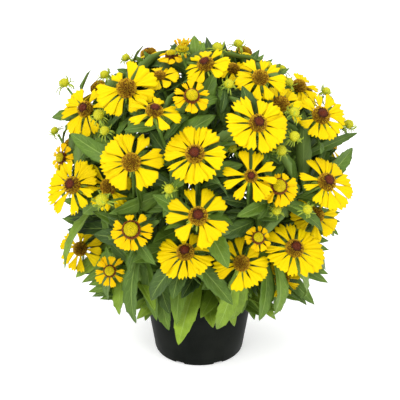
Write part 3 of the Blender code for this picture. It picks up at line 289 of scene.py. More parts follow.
# Buds seen in the photograph: millimetres right and up, radius, and millimetres nearer the eye
SEEN_BUDS = (
    (-144, 125, 5.5, 0), (-101, 134, 5.0, 6), (-78, 152, 4.5, 0), (-42, 155, 4.5, -16),
    (-21, 126, 6.0, 6), (-154, 74, 4.5, -4), (-147, 56, 5.0, 10), (-107, 91, 6.0, 14),
    (-101, 74, 5.0, 8), (20, 163, 5.5, 0), (42, 167, 5.0, -14), (74, 144, 4.5, -10),
    (96, 126, 5.0, 0), (32, 124, 5.0, 6), (102, 94, 5.5, 10), (102, 68, 5.5, 10),
    (136, 116, 5.0, -6), (160, 81, 5.5, 0), (35, 56, 5.5, 6), (88, 53, 5.5, 8),
    (-104, 0, 6.5, 12), (83, -11, 5.0, 4), (116, -10, 5.0, 10), (-32, 12, 5.0, 4),
)

# Leaves seen in the photograph by their tips: millimetres right and up of the tip, the same of the
# root end, millimetres nearer the eye than the crown at the tip and at the root end, and the width.
SEEN_LEAVES = (
    (-22, -155, -14, -96, 34, 20, 20), (-24, -134, -32, -88, 38, 22, 15),
    (-67, -132, -44, -84, 34, 16, 15), (-45, -129, -28, -82, 28, 10, 14),
    (-51, -107, -30, -66, 30, 12, 16), (-96, -107, -66, -70, 12, 4, 16),
    (-143, -75, -104, -52, 8, 0, 15), (-141, -32, -100, -24, 4, 0, 14),
    (-85, -123, -60, -86, 24, 10, 14), (-28, -106, -10, -74, 32, 14, 17),
    (19, -138, 8, -92, 34, 14, 15), (37, -127, 30, -84, 34, 12, 16),
    (64, -129, 46, -88, 32, 10, 15), (36, -112, 16, -72, 38, 16, 15),
    (77, -125, 60, -82, 22, 6, 15), (81, -118, 62, -66, 30, 8, 14),
    (111, -104, 78, -72, 12, 4, 16), (135, -74, 98, -58, 6, 0, 15),
    (132, -33, 96, -26, 8, 0, 15), (31, -73, 4, -98, 26, 20, 17),
    (170, 72, 128, 58, 0, -6, 9), (164, 56, 124, 40, 4, -8, 14),
    (-157, 88, -112, 64, 0, -10, 13), (-137, 71, -96, 46, 12, -4, 15),
    (-59, 165, -50, 122, -6, -16, 12), (19, 139, 14, 92, 4, -10, 15),
    (46, 122, 36, 76, 2, -12, 16),
)


# Where everything grows

class Room:
    """The room taken up so far, in small cells."""

    CELL = 2.0 * MM
    COUNT = 210
    EDGE = 2

    def __init__(self) -> None:
        """Starts with all of it free."""
        self.low = np.array((-0.21, -0.21, -0.01))
        self.cells = np.zeros((self.COUNT,) * 3, np.int16)
        steps = (-1, 0, 1)
        self.ball = np.array([(i, j, k) for i in steps for j in steps for k in steps
                              if i * i + j * j + k * k <= 2])

    def find(self, points: list) -> np.ndarray:
        """The cells that hold these points."""
        found = np.floor((np.asarray(points) - self.low) / self.CELL).astype(int)
        return np.clip(found, self.EDGE, self.COUNT - 1 - self.EDGE)

    def owners(self, points: list) -> np.ndarray:
        """Who holds the cells of these points, or 0 where they are free."""
        i, j, k = self.find(points).T
        return self.cells[i, j, k]

    def clashes(self, points: list, allowed: tuple = ()) -> int:
        """How many of the points lie in room that is taken, by other owners than the allowed ones."""
        owners = self.owners(points)
        taken = owners != 0
        for owner in allowed:
            taken &= owners != owner
        return int(taken.sum())

    def take(self, points: list, owner: int) -> None:
        """Takes the cells round these points for an owner."""
        i, j, k = (self.find(points)[:, None, :] + self.ball[None, :, :]).reshape(-1, 3).T
        self.cells[i, j, k] = owner

    def take_closely(self, points: list, owner: int) -> None:
        """Takes only the cells that hold these points."""
        i, j, k = self.find(points).T
        self.cells[i, j, k] = owner


def pot_radius(height: float) -> float:
    """The pot's outer radius at a height."""
    return POT_FOOT_RADIUS + (POT_RIM_RADIUS - POT_FOOT_RADIUS) * height / POT_HEIGHT


def level_out(angle: float) -> Vector:
    """The level direction at an angle."""
    return Vector((math.cos(angle), math.sin(angle), 0.0))


def raised(height: float) -> Vector:
    """A vector straight up."""
    return Vector((0.0, 0.0, height))


def crown_point(right: float, up: float, nearer: float) -> Vector:
    """The point that the photograph shows at a place of the sight plane, on the crown or before it.

    Args:
        right: Millimetres right of the middle of the sight plane.
        up: Millimetres above it.
        nearer: Millimetres nearer the eye than the crown.

    Returns:
        The point, in metres.
    """
    along = (SIGHT_TARGET + ACROSS * (right * MM) + UP_PAGE * (up * MM) - EYE).normalized()
    start = EYE - CROWN_MIDDLE
    a = sum((along[i] / CROWN_RADII[i]) ** 2 for i in range(3))
    b = sum(along[i] * start[i] / CROWN_RADII[i] ** 2 for i in range(3))
    inside = b * b - a * (crown_share(EYE) - 1.0)
    reach = (-b - math.sqrt(max(inside, 0.0))) / a
    return EYE + along * (reach - nearer * MM)


def crown_share(point: Vector, slack: float = 0.0) -> float:
    """The square of how far out a point lies, in shares of the crown's radii grown by a slack."""
    away = point - CROWN_MIDDLE
    return sum((away[i] / (CROWN_RADII[i] + slack)) ** 2 for i in range(3))


def crown_spot(out: Vector, share: float) -> Vector:
    """The point in a direction from the crown's middle, at a share of its radii."""
    return CROWN_MIDDLE + Vector([out[i] * CROWN_RADII[i] for i in range(3)]) * share


def crown_outward(point: Vector) -> Vector:
    """The direction straight out of the crown at a point."""
    away = point - CROWN_MIDDLE
    return Vector([away[i] / CROWN_RADII[i] ** 2 for i in range(3)]).normalized()


def square_to(direction: Vector) -> tuple[Vector, Vector]:
    """Two unit vectors square to a direction and to each other."""
    helper = Vector((0.0, 1.0, 0.0)) if abs(direction.z) > 0.9 else raised(1.0)
    side = direction.cross(helper).normalized()
    return side, direction.cross(side).normalized()


def turned_axes(out: Vector, turn: float) -> tuple[Vector, Vector, Vector]:
    """Unit vectors across, up and out, turned round the way out."""
    side, top = square_to(out)
    c, s = math.cos(turn), math.sin(turn)
    return side * c + top * s, top * c - side * s, out


def bezier(start: Vector, start_pull: Vector, end_pull: Vector, end: Vector, count: int) -> list[Vector]:
    """Points along a curve that leaves and arrives by its two pulls.

    Args:
        start: Where it starts.
        start_pull: The point that it heads for at first.
        end_pull: The point that it comes from at last.
        end: Where it ends.
        count: How many steps it has.

    Returns:
        The points, one more than the steps.
    """
    points = []
    for step in range(count + 1):
        t = step / count
        s = 1.0 - t
        points.append(start * s ** 3 + start_pull * 3 * s * s * t + end_pull * 3 * s * t * t
                      + end * t ** 3)
    return points


def along_path(points: list[Vector], share: float) -> tuple[Vector, Vector]:
    """The point and direction at a share of a path's points."""
    place = min(max(share, 0.0), 1.0) * (len(points) - 1)
    index = min(int(place), len(points) - 2)
    step = points[index + 1] - points[index]
    return points[index] + step * (place - index), step.normalized()


def fine_points(path: list[Vector], spacing: float = 2.0 * MM) -> list[tuple]:
    """Close points along a path, for the room it takes."""
    found = []
    for start, end in zip(path, path[1:]):
        count = max(1, int((end - start).length / spacing) + 1)
        found += [start.lerp(end, i / count) for i in range(count)]
    found.append(path[-1])
    return [tuple(point) for point in found]


@dataclass
class Bloom:
    """One bloom: where its disc stands, which way it faces, how far open it is, and its room's owner."""

    middle: Vector
    facing: Vector
    radius: float
    disc: float
    stage: Stage
    turn: float
    owner: int = 0

    def __post_init__(self) -> None:
        """Makes the facing a unit vector."""
        self.facing = self.facing.normalized()

    def axes(self) -> tuple[Vector, Vector, Vector]:
        """The bloom's own across, up and facing directions."""
        return turned_axes(self.facing, self.turn)

    def ray_height(self, reach: float | np.ndarray) -> float | np.ndarray:
        """How high the open rays stand over the disc's foot at a distance from the middle."""
        share = reach / self.radius
        return (0.16 * share - 0.24 * share * share) * self.radius

    def room_points(self, spacing: float = 2.0 * MM) -> np.ndarray:
        """Points all over the rays and the disc, for the room they take."""
        points = []
        rings = int(self.radius / spacing) + 1
        for ring in range(rings + 1):
            reach = self.radius * ring / rings
            height = 0.75 * reach if self.stage is Stage.OPENING else self.ray_height(reach)
            count = max(1, int(math.tau * reach / spacing))
            for step in range(count):
                angle = math.tau * step / count
                points.append((reach * math.cos(angle), reach * math.sin(angle), height))
        dome = self.disc * 0.5
        for tilt in (ring * math.pi / 8 for ring in range(1, 5)):
            for angle in (math.tau * step / 12 for step in range(12)):
                points.append((dome * math.cos(tilt) * math.cos(angle),
                               dome * math.cos(tilt) * math.sin(angle), dome * 1.1 * math.sin(tilt)))
        return self.in_place(np.array(points))

    def in_place(self, points: np.ndarray) -> np.ndarray:
        """Moves points from the bloom's own axes to where it grows."""
        return np.array(self.middle) + points @ np.array(self.axes())

    def foot(self) -> Vector:
        """Where the stem's cup ends, just behind the bloom."""
        return self.middle - self.facing * (BLOOM_THICKNESS + GAP)


@dataclass
class Leaf:
    """One leaf: its root, the way it leaves the stem, its upper side, its size and its droop."""

    root: Vector
    direction: Vector
    normal: Vector
    length: float
    width: float
    droop: float

    def point(self, share: float, across: float = 0.0) -> Vector:
        """A point of the blade, by share of its length and distance across."""
        bend = self.droop * share
        size = self.length / self.droop
        middle = (self.root + self.direction * (size * math.sin(bend))
                  - self.normal * (size * (1 - math.cos(bend))))
        up = self.direction * math.sin(bend) + self.normal * math.cos(bend)
        return middle + self.direction.cross(self.normal) * across + up * (abs(across) * 0.32)

    def blade(self, share: np.ndarray, across: np.ndarray, lift: np.ndarray) -> np.ndarray:
        """Many points of the blade at once, as point() gives them one by one.

        Args:
            share: Their shares of the length.
            across: Their distances across.
            lift: How far each is lifted off the blade.

        Returns:
            The points.
        """
        side = np.array(self.direction.cross(self.normal))
        along, normal = np.array(self.direction), np.array(self.normal)
        bend = (self.droop * share)[:, None]
        size = self.length / self.droop
        middle = (np.array(self.root) + along * size * np.sin(bend)
                  - normal * size * (1.0 - np.cos(bend)))
        up = along * np.sin(bend) + normal * np.cos(bend)
        return middle + side * across[:, None] + up * (lift + np.abs(across) * 0.32)[:, None]

    def room_points(self, spacing: float = 2.0 * MM) -> list[tuple]:
        """Points all over the blade, each with its share of the length."""
        points = []
        steps = max(8, int(self.length / spacing))
        for share in (step / steps for step in range(steps + 1)):
            half = 0.5 * self.width * min(1.0, 0.25 + 1.9 * share, 2.2 * (1.0 - share) + 0.1)
            count = max(1, int(half / spacing) + 1)
            points += [(share, tuple(self.point(share, half * offset / count)))
                       for offset in range(-count, count + 1)]
        return points

    def rest_points(self, first: float, spacing: float = 2.0 * MM) -> list[tuple]:
        """Points over the blade from a share of its length on."""
        return [point for share, point in self.room_points(spacing) if share > first]


def face_up(along: Vector, look: Vector) -> Vector | None:
    """The unit vector square to a direction that comes nearest to a look, or None for a poor one."""
    normal = look - along * look.dot(along)
    return None if normal.length < 0.05 else normal.normalized()


def leaf_between(root: Vector, tip: Vector, width: float, droop: float,
                 viewer: Vector | None = None) -> Leaf | None:
    """A leaf whose curved midrib ends at a given tip, or None where that is too long or short.

    Args:
        root: Where it leaves the stem.
        tip: Where it ends.
        width: Its width.
        droop: How far it bends down on its way, in radians.
        viewer: The way its face turns, or None for up and outwards.

    Returns:
        The leaf or None.
    """
    span = tip - root
    if span.length < 30.0 * MM or span.length > 88.0 * MM:
        return None
    along = span.normalized()
    look = raised(0.6) + Vector((tip.x, tip.y, 0.0)).normalized()
    if viewer is not None:
        look = viewer + raised(0.25)
    normal = face_up(along, look)
    if normal is None:
        return None
    half = droop * 0.5
    direction = along * math.cos(half) + normal * math.sin(half)
    lift = normal * math.cos(half) - along * math.sin(half)
    return Leaf(root, direction, lift, span.length * half / math.sin(half), width, droop)


@dataclass
class Bud:
    """One bud: the way its stalk goes, its middle, its facing and its radius."""

    path: list[Vector]
    spot: Vector
    facing: Vector
    radius: float


@dataclass
class Stem:
    """One stem with its branches, blooms, leaves and buds."""

    azimuth: float
    owner: int
    main: list[Vector] = field(default_factory=list)
    blooms: list[Bloom] = field(default_factory=list)
    branches: list[list[Vector]] = field(default_factory=list)
    leaves: list[Leaf] = field(default_factory=list)
    small_leaves: list[Leaf] = field(default_factory=list)
    buds: list[Bud] = field(default_factory=list)

    def paths(self) -> list[list[Vector]]:
        """The main path and all its branches."""
        return [self.main] + self.branches

    def turned_from(self, angle: float) -> float:
        """How far the stem's side of the bush is turned from an azimuth."""
        return abs(math.remainder(self.azimuth - angle, math.tau))


class Plan:
    """Where every bloom, stem, bud and leaf grows, with nothing crossing another stem's parts."""

    def __init__(self) -> None:
        """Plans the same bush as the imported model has, in the same order, and then its small leaves."""
        self.chance = random.Random(SEED)
        self.room = Room()
        self.blooms: list[Bloom] = []
        self.stems: list[Stem] = []
        self.take_pot()
        self.place_seen_blooms()
        self.place_back_blooms()
        self.place_stems()
        self.place_branches()
        self.place_buds()
        self.place_seen_leaves()
        self.place_skirt()
        self.place_leaves()
        self.fill_in()
        self.screen = self.make_screen()
        self.close_gaps(TO_EYE, True)
        for azimuth in SIDES:
            for slope in SLOPES:
                self.close_gaps((level_out(math.radians(azimuth)) + raised(slope)).normalized(), False)
        log.info("planned %d blooms on %d stems, with %d large and %d small leaves", len(self.blooms),
                 len(self.stems), sum(len(stem.leaves) for stem in self.stems),
                 sum(len(stem.small_leaves) for stem in self.stems))

    def take_pot(self) -> None:
        """Takes the room of the pot's wall and of the soil's top."""
        wall = []
        for height in (POT_HEIGHT * level / 37 for level in range(38)):
            radius = pot_radius(height)
            for angle in (math.tau * step / 200 for step in range(200)):
                wall.append((radius * math.cos(angle), radius * math.sin(angle), height))
        self.room.take(wall, Owner.POT.value)
        soil = [(x * MM, y * MM, SOIL_TOP + lift * MM) for x in range(-58, 59, 2)
                for y in range(-58, 59, 2) for lift in (0, 2) if x * x + y * y < 58 * 58]
        self.room.take(soil, Owner.SOIL.value)

    def keep_bloom(self, bloom: Bloom, line: Vector, offsets: tuple) -> None:
        """Keeps a bloom at the first place along a line where it is clear, or where it clashes least.

        Args:
            bloom: The bloom at its first place.
            line: The way along which it may move.
            offsets: How far it moves at each try, in millimetres.
        """
        tries = []
        for offset in offsets:
            moved = replace(bloom, middle=bloom.middle + line * (offset * MM))
            tries.append((self.room.clashes(moved.room_points()), moved))
            if tries[-1][0] == 0:
                break
        chosen = min(tries, key=lambda entry: entry[0])[1]
        self.blooms.append(chosen)
        chosen.owner = 100 + len(self.blooms)
        self.room.take(chosen.room_points(), chosen.owner)

    def place_seen_blooms(self) -> None:
        """Places the blooms that the photograph shows."""
        offsets = (0, 4, -4, 8, -8, 12, -12, 16, -16, 20, -20, -26, -32, -38, -44, -52, -60, -70)
        for right, up, radius, disc, stage, lean_right, lean_up, nearer in SEEN_BLOOMS:
            middle = crown_point(right, up, nearer)
            rest = math.sqrt(max(0.02, 1.0 - lean_right ** 2 - lean_up ** 2))
            facing = ACROSS * lean_right + UP_PAGE * lean_up + TO_EYE * rest
            turn = self.chance.uniform(0.0, math.tau)
            bloom = Bloom(middle, facing, radius * MM, disc * MM, stage, turn)
            self.keep_bloom(bloom, (EYE - middle).normalized(), offsets)

    def place_back_blooms(self) -> None:
        """Places rows of blooms on the side that the photograph doesn't show."""
        stages = (Stage.FULL, Stage.CAPPED, Stage.CAPPED, Stage.YOUNG, Stage.FULL)
        made = 0
        for level, count, first, span in BACK_ROWS:
            for step in range(count):
                azimuth = first + span * step / (count - 1) + self.chance.uniform(-4.0, 4.0)
                height = level + self.chance.uniform(-0.06, 0.06)
                flat = math.sqrt(1.0 - height * height)
                angle = math.radians(azimuth)
                outward = Vector((flat * math.cos(angle), flat * math.sin(angle), height))
                stage = stages[made % len(stages)]
                young = stage is Stage.YOUNG
                share = 0.72 if young else self.chance.uniform(0.9, 1.06)
                middle = crown_spot(outward, 0.95)
                turn = self.chance.uniform(0.0, math.tau)
                bloom = Bloom(middle, crown_outward(middle) + raised(0.35), BACK_BLOOM_RADIUS * share,
                              (15.0 if young else 18.0) * MM, stage, turn)
                self.keep_bloom(bloom, outward, (0, -5, 5, -10, 9, -15, -20, -26))
                made += 1

    def place_stems(self) -> None:
        """Gives each stem the blooms nearest to its side of the bush, and its main path."""
        inner = len(INNER_STEM_AZIMUTHS)
        self.stems = [Stem(math.radians(azimuth), 10 + 2 * index)
                      for index, azimuth in enumerate(INNER_STEM_AZIMUTHS + OUTER_STEM_AZIMUTHS)]
        for bloom in self.blooms:
            foot = bloom.foot() - bloom.facing * 20.0 * MM
            angle = math.atan2(foot.y, foot.x)
            high = foot.z > CROWN_MIDDLE.z + 25.0 * MM
            within = high and math.hypot(foot.x, foot.y) < INNER_REACH
            group = self.stems[:inner] if within else self.stems[inner:]
            chosen = min(group, key=lambda stem: stem.turned_from(angle) + 0.05 * len(stem.blooms))
            chosen.blooms.append(bloom)
        for index, stem in enumerate(self.stems):
            self.grow_main(stem, STEM_INNER_RING if index < inner else STEM_RING)

    def grow_main(self, stem: Stem, ring: float) -> None:
        """Leads a stem's main path from its hole in the soil towards the middle of its blooms.

        Args:
            stem: The stem.
            ring: How far its hole is from the pot's axis.
        """
        out = level_out(stem.azimuth)
        base = out * ring + raised(SOIL_TOP - HOLE_DEPTH + GAP)
        feet = [bloom.foot() - bloom.facing * 25.0 * MM for bloom in stem.blooms]
        span = sum(feet, Vector()) / len(feet) - base
        top = base + Vector((span.x * 0.62, span.y * 0.62, max(span.z * 0.70, 62.0 * MM)))
        neck = base + raised(HOLE_DEPTH + 3.0 * MM)
        length = (top - neck).length
        arrival = (out * 0.2 + raised(0.8)) * 0.25 * length
        stem.main = [base] + bezier(neck, neck + raised(length) * 0.4, top - arrival, top, 4)
        self.room.take(fine_points(stem.main), stem.owner)

    def route(self, stem: Stem, end: Vector, end_direction: Vector, allowed: tuple,
              shares: list[float]) -> list[Vector]:
        """A curved way from a stem to a point, clear of the rest where one is found.

        Args:
            stem: The stem it leaves.
            end: Where it ends.
            end_direction: The way it comes back from its end.
            allowed: Owners that it may touch.
            shares: Places on the stem to start from, the best first.

        Returns:
            The points of the way.
        """
        best = (math.inf, 0, [])
        for share in shares:
            start, rising = along_path(stem.main, share)
            length = (end - start).length
            side, _ = square_to((end - start).normalized())
            for bow in (0.0, 0.18, -0.18, 0.34, -0.34):
                for pull in (0.4, 0.25, 0.6):
                    path = bezier(start, start + (rising * pull + side * bow) * length,
                                  end + (end_direction * pull + side * bow * 0.4) * length * 0.7,
                                  end, 3)
                    checked = fine_points(path)[3:]
                    clashes = self.room.clashes(checked, allowed) if checked else 0
                    best = min(best, (clashes + abs(bow) * 0.5, clashes, path), key=lambda way: way[0])
                    if clashes == 0 and bow == 0.0:
                        return path
            if best[1] == 0:
                break
        return best[2]

    def place_branches(self) -> None:
        """Leads a branch from its stem to the cup of every bloom, from the lowest bloom up."""
        for stem in self.stems:
            stem.blooms.sort(key=lambda bloom: bloom.foot().z)
            for rank, bloom in enumerate(stem.blooms):
                foot = bloom.foot() - bloom.facing * 3.4 * MM
                share = 0.55 + 0.45 * (rank + 1) / len(stem.blooms)
                shares = [share, share - 0.15, min(1.0, share + 0.15), share - 0.3, 1.0]
                path = self.route(stem, foot, -bloom.facing, (stem.owner, bloom.owner), shares)
                stem.branches.append(path)
                self.room.take(fine_points(path)[:-2], stem.owner)

    def nearest_stems(self, point: Vector) -> list[Stem]:
        """The three stems that come nearest to a point."""
        return sorted(self.stems, key=lambda stem: min(
            (spot - point).length for path in stem.paths() for spot in path[2:]))[:3]

    def place_buds(self) -> None:
        """Places the buds that are seen, and a few by rule on the back."""
        for right, up, radius, nearer in SEEN_BUDS:
            for shift in (0, 6, -6, 12, -12, 18, -20, -28):
                spot = crown_point(right, up, nearer + shift)
                if self.try_bud(spot, crown_outward(spot), radius * MM):
                    break
        made = 0
        for step in range(60):
            level = 0.9 - (step * 0.618 + 0.3) % 1.0
            flat = math.sqrt(1.0 - level * level)
            turn = GOLDEN_TURN * step
            out = Vector((flat * math.cos(turn), flat * math.sin(turn), level))
            if out.y < 0.15 or made >= BACK_BUDS:
                continue
            if self.try_bud(crown_spot(out, 0.98), out, self.chance.uniform(4.5, 6.0) * MM):
                made += 1

    def try_bud(self, spot: Vector, outward: Vector, radius: float) -> bool:
        """Keeps a bud where it and a stalk to it are clear.

        Args:
            spot: Its middle.
            outward: The way out of the crown there.
            radius: Its radius.

        Returns:
            Whether it was kept.
        """
        facing = (outward + raised(0.8)).normalized()
        ball = []
        for tilt in (ring * math.pi / 7 for ring in range(-3, 4)):
            for angle in (math.tau * step / 8 for step in range(8)):
                away = Vector((math.cos(tilt) * math.cos(angle), math.cos(tilt) * math.sin(angle),
                               math.sin(tilt)))
                ball.append(tuple(spot + away * radius * 1.3))
        if self.room.clashes(ball):
            return False
        for stem in self.nearest_stems(spot):
            ways = [self.bud_stalk(stem, along_path(path, share), spot, facing, radius)
                    for path in stem.paths() for share in (0.35, 0.5, 0.65, 0.8)]
            ways = [way for way in ways if way]
            if ways:
                way = min(ways, key=lambda way: (spot - way[0]).length)
                stem.buds.append(Bud(way, spot, facing, radius))
                self.room.take(ball, stem.owner + 1)
                self.room.take(fine_points(way)[2:], stem.owner)
                return True
        return False

    def bud_stalk(self, stem: Stem, place: tuple, spot: Vector, facing: Vector,
                  radius: float) -> list[Vector] | None:
        """Leads a bud's stalk from its stem to its foot.

        Args:
            stem: The stem.
            place: The point and the direction of the stem where it leaves.
            spot: The bud's middle.
            facing: The way the bud faces.
            radius: The bud's radius.

        Returns:
            The points of the stalk, or None where it isn't clear.
        """
        start, rising = place
        length = (spot - start).length
        if length > 95.0 * MM or length < 12.0 * MM:
            return None
        heading = (spot - start).normalized()
        if heading.dot(rising) < 0.2 or heading.dot(facing) < 0.15:
            return None
        end = spot - facing * (radius + 1.2 * MM)
        way = bezier(start, start + rising * length * 0.35, end - facing * length * 0.35, end, 2)
        return None if self.room.clashes(fine_points(way)[3:], (stem.owner,)) else way

    def is_clear(self, stem: Stem, leaf: Leaf) -> bool:
        """Whether a leaf's blade is clear; near its root only its own stem may be close."""
        points = leaf.room_points()
        start = [point for share, point in points if share <= 0.16]
        rest = [point for share, point in points if share > 0.16]
        return not (self.room.clashes(rest) or self.room.clashes(start, (stem.owner,)))

    def try_leaf(self, stem: Stem, leaf: Leaf | None) -> bool:
        """Keeps a leaf when its blade is clear."""
        if leaf is None or not self.is_clear(stem, leaf):
            return False
        stem.leaves.append(leaf)
        self.room.take(leaf.rest_points(0.08), stem.owner + 1)
        return True

    def place_seen_leaves(self) -> None:
        """Places the leaves whose tips the photograph shows."""
        for tip_u, tip_v, root_u, root_v, tip_near, root_near, width in SEEN_LEAVES:
            for shift in (0, 5, -5, 10, -10, 16, -16):
                tip = crown_point(tip_u, tip_v, tip_near + shift)
                root = crown_point(root_u, root_v, root_near + shift)
                if self.try_seen_leaf(tip, root, width * SEEN_WIDENING * MM):
                    break

    def try_seen_leaf(self, tip: Vector, root: Vector, width: float) -> bool:
        """Keeps a leaf from one of the stems nearest to its root end, where one is clear.

        Args:
            tip: Where it ends.
            root: Where the photograph shows its other end.
            width: Its width.

        Returns:
            Whether one was kept.
        """
        for stem in self.nearest_stems(root):
            spots = [along_path(path, share)[0] for path in stem.paths()
                     for share in (0.22, 0.32, 0.42, 0.52, 0.62, 0.74, 0.86)]
            spots = [spot for spot in spots if spot.z > SOIL_TOP + 6.0 * MM]
            spots.sort(key=lambda spot: (spot - root).length)
            if any(self.try_leaf(stem, leaf_between(spot, tip, width, droop))
                   for spot in spots[:10] for droop in (0.9, 0.5, 1.3, 0.2)):
                return True
        return False

    def place_skirt(self) -> None:
        """Places leaves that reach out over the pot's rim all round, so that the soil is hidden."""
        for azimuth, turn, reach, height in SKIRT_LEAVES:
            tip = level_out(math.radians(azimuth + turn)) * (reach * MM) + raised(height * MM)
            root = math.radians(azimuth)
            beside = sorted(self.stems, key=lambda stem: stem.turned_from(root))
            for stem in beside[:4]:
                if self.try_skirt_leaf(stem, tip):
                    break

    def try_skirt_leaf(self, stem: Stem, tip: Vector) -> bool:
        """Keeps a leaf from a stem to a tip outside the pot, where one is clear."""
        spots = [along_path(path, step / 12)[0] for path in stem.paths() for step in range(1, 12)]
        low, high = SKIRT_ROOTS
        return any(self.try_leaf(stem, leaf_between(spot, tip, SKIRT_WIDTH, droop))
                   for spot in spots if low < spot.z < high for droop in (1.2, 0.9, 1.5, 0.6))

    def place_leaves(self) -> None:
        """Leaves by rule, turned a golden angle each along the stems and branches."""
        for index, stem in enumerate(self.stems):
            paths = stem.paths()
            made = 0
            wanted = FRONT_LEAVES if math.sin(stem.azimuth) < -0.3 else BACK_LEAVES
            for step in range(wanted * 4):
                if made >= wanted:
                    break
                path = paths[0] if step % 2 == 0 else paths[(step // 2) % len(paths)]
                first, shift = (0.24, index * 0.3) if step % 2 == 0 else (0.15, 0.37)
                spot, rising = along_path(path, first + 0.70 * ((step * 0.618 + shift) % 1.0))
                if spot.z < SOIL_TOP + 5.0 * MM:
                    continue
                length = LEAF_LENGTH * self.chance.uniform(0.8, 1.12)
                width = LEAF_WIDTH * self.chance.uniform(0.85, 1.15)
                turn = GOLDEN_TURN * step + index
                if any(self.try_leaf(stem, rule_leaf(spot, rising, length, width, turn, attempt))
                       for attempt in range(14)):
                    made += 1

    def fill_in(self) -> None:
        """Adds smaller leaves in the room that is left, along every stem, branch and stalk."""
        chance = random.Random(SEED + 7)
        for stem in self.stems:
            ways = stem.paths() + [bud.path for bud in stem.buds]
            for step in range(FILLING_LEAVES * 4):
                if len(stem.small_leaves) >= FILLING_LEAVES:
                    break
                share = 0.12 + 0.80 * ((step * 0.618 + 0.19) % 1.0)
                spot, rising = along_path(ways[step % len(ways)], share)
                if spot.z < SOIL_TOP + 4.0 * MM:
                    continue
                length = LEAF_LENGTH * chance.uniform(0.45, 0.95)
                for attempt in range(12):
                    size = length * (1.0, 0.85, 0.7, 0.55)[attempt // 3]
                    leaf = rule_leaf(spot, rising, size, size * 0.30, GOLDEN_TURN * step, attempt)
                    if leaf and self.is_clear(stem, leaf) and not self.hides_bloom(leaf):
                        stem.small_leaves.append(leaf)
                        self.room.take_closely(leaf.rest_points(0.1), stem.owner + 1)
                        break

    def close_gaps(self, way: Vector, facing: bool) -> None:
        """Adds small leaves where one could see right through the bush along a direction.

        Args:
            way: The direction from the bush to the viewer.
            facing: Whether this is the photograph's view, where the sight lines meet in its eye.
        """
        side, top = square_to(way)
        eye = EYE if facing else CROWN_MIDDLE + way * FAR_AWAY
        for column in GAP_COLUMNS:
            for row in GAP_ROWS:
                passed = CROWN_MIDDLE + side * (column * GAP_STEP) - top * (row * GAP_STEP)
                along = (passed - eye).normalized()
                if not self.sees_through(eye, along, facing):
                    continue
                for depth in GAP_DEPTHS:
                    if self.try_small_leaf(passed - along * (depth * MM), way, facing):
                        break

    def sees_through(self, eye: Vector, along: Vector, facing: bool) -> bool:
        """Whether a sight line crosses the bush well inside its outline and meets nothing there.

        Args:
            eye: Where it starts.
            along: The way it goes.
            facing: Whether this is the photograph's view.

        Returns:
            True where one sees through.
        """
        start = eye - CROWN_MIDDLE
        near = np.array([start[i] / CROWN_RADII[i] for i in range(3)])
        step = np.array([along[i] / CROWN_RADII[i] for i in range(3)])
        nearest = -float(near @ step) / float(step @ step)
        if float(np.sum((near + step * nearest) ** 2)) >= INNER_CROWN ** 2:
            if not self.is_under_crown(eye + along * nearest, facing):
                return False
        reach = nearest + np.arange(-LINE_REACH, LINE_REACH, LINE_STEP)
        line = np.array(eye) + reach[:, None] * np.array(along)
        return not self.screen.owners(line[line[:, 2] > 0.0]).any()

    def is_under_crown(self, passed: Vector, facing: bool) -> bool:
        """Whether a sight line passes through the leaves under the round crown.

        Args:
            passed: Its point nearest to the crown's middle.
            facing: Whether this is the photograph's view.

        Returns:
            True where it does.
        """
        if facing:
            level = (passed - SIGHT_TARGET).dot(UP_PAGE)
            return any(low < level < high and abs(passed.x - CROWN_SHIFT) < wide
                       for low, high, wide in SKIRT_BANDS)
        low, high = UNDER_CROWN
        wide = UNDER_WIDTH + UNDER_SPREAD * (passed.z - low) if passed.z < WAIST else WAIST_WIDTH
        return low < passed.z < high and math.hypot(passed.x, passed.y) < wide

    def make_screen(self) -> Room:
        """What blocks the view: blades, rods, discs and the pot, in the cells that they fill."""
        screen = Room()
        screen.cells[self.room.cells == Owner.POT.value] = 1
        for stem in self.stems:
            for leaf in stem.leaves + stem.small_leaves:
                screen.take_closely(leaf.rest_points(-1.0, BLADE_SPACING), 1)
            for path in stem.paths():
                screen.take_closely(fine_points(path, 1.0 * MM), 1)
        for bloom in self.blooms:
            points = bloom.room_points()
            away = np.linalg.norm(points - np.array(bloom.middle), axis=1)
            screen.take_closely(points[away < 0.5 * bloom.disc], 1)
        return screen

    def try_small_leaf(self, spot: Vector, viewer: Vector, facing: bool) -> bool:
        """Keeps a small leaf that passes a spot, from one of the nearest stems, clear of all blooms.

        Args:
            spot: The spot.
            viewer: The way its face turns.
            facing: Whether this is the photograph's view, in which its tip may stand out.

        Returns:
            Whether one was kept.
        """
        greens = tuple(stem.owner + kind for kind in (0, 1) for stem in self.stems)
        for stem in self.nearest_stems(spot):
            roots = [along_path(path, share)[0] for path in stem.paths() for share in SMALL_ROOTS]
            for root in roots:
                if root.z < SOIL_TOP + 4.0 * MM:
                    continue
                tip = spot + (spot - root).normalized() * PAST_SPOT
                leaf = leaf_between(root, tip, SMALL_WIDTH, SMALL_DROOP, viewer)
                if leaf is None or self.hides_bloom(leaf) or not facing and sticks_out(tip):
                    continue
                points = leaf.rest_points(0.1)
                if self.room.clashes(points, greens):
                    continue
                if self.room.clashes(points) < TOUCHING * len(points):
                    stem.small_leaves.append(leaf)
                    self.room.take_closely(points, stem.owner + 1)
                    self.screen.take_closely(leaf.rest_points(-1.0, BLADE_SPACING), 1)
                    return True
        return False

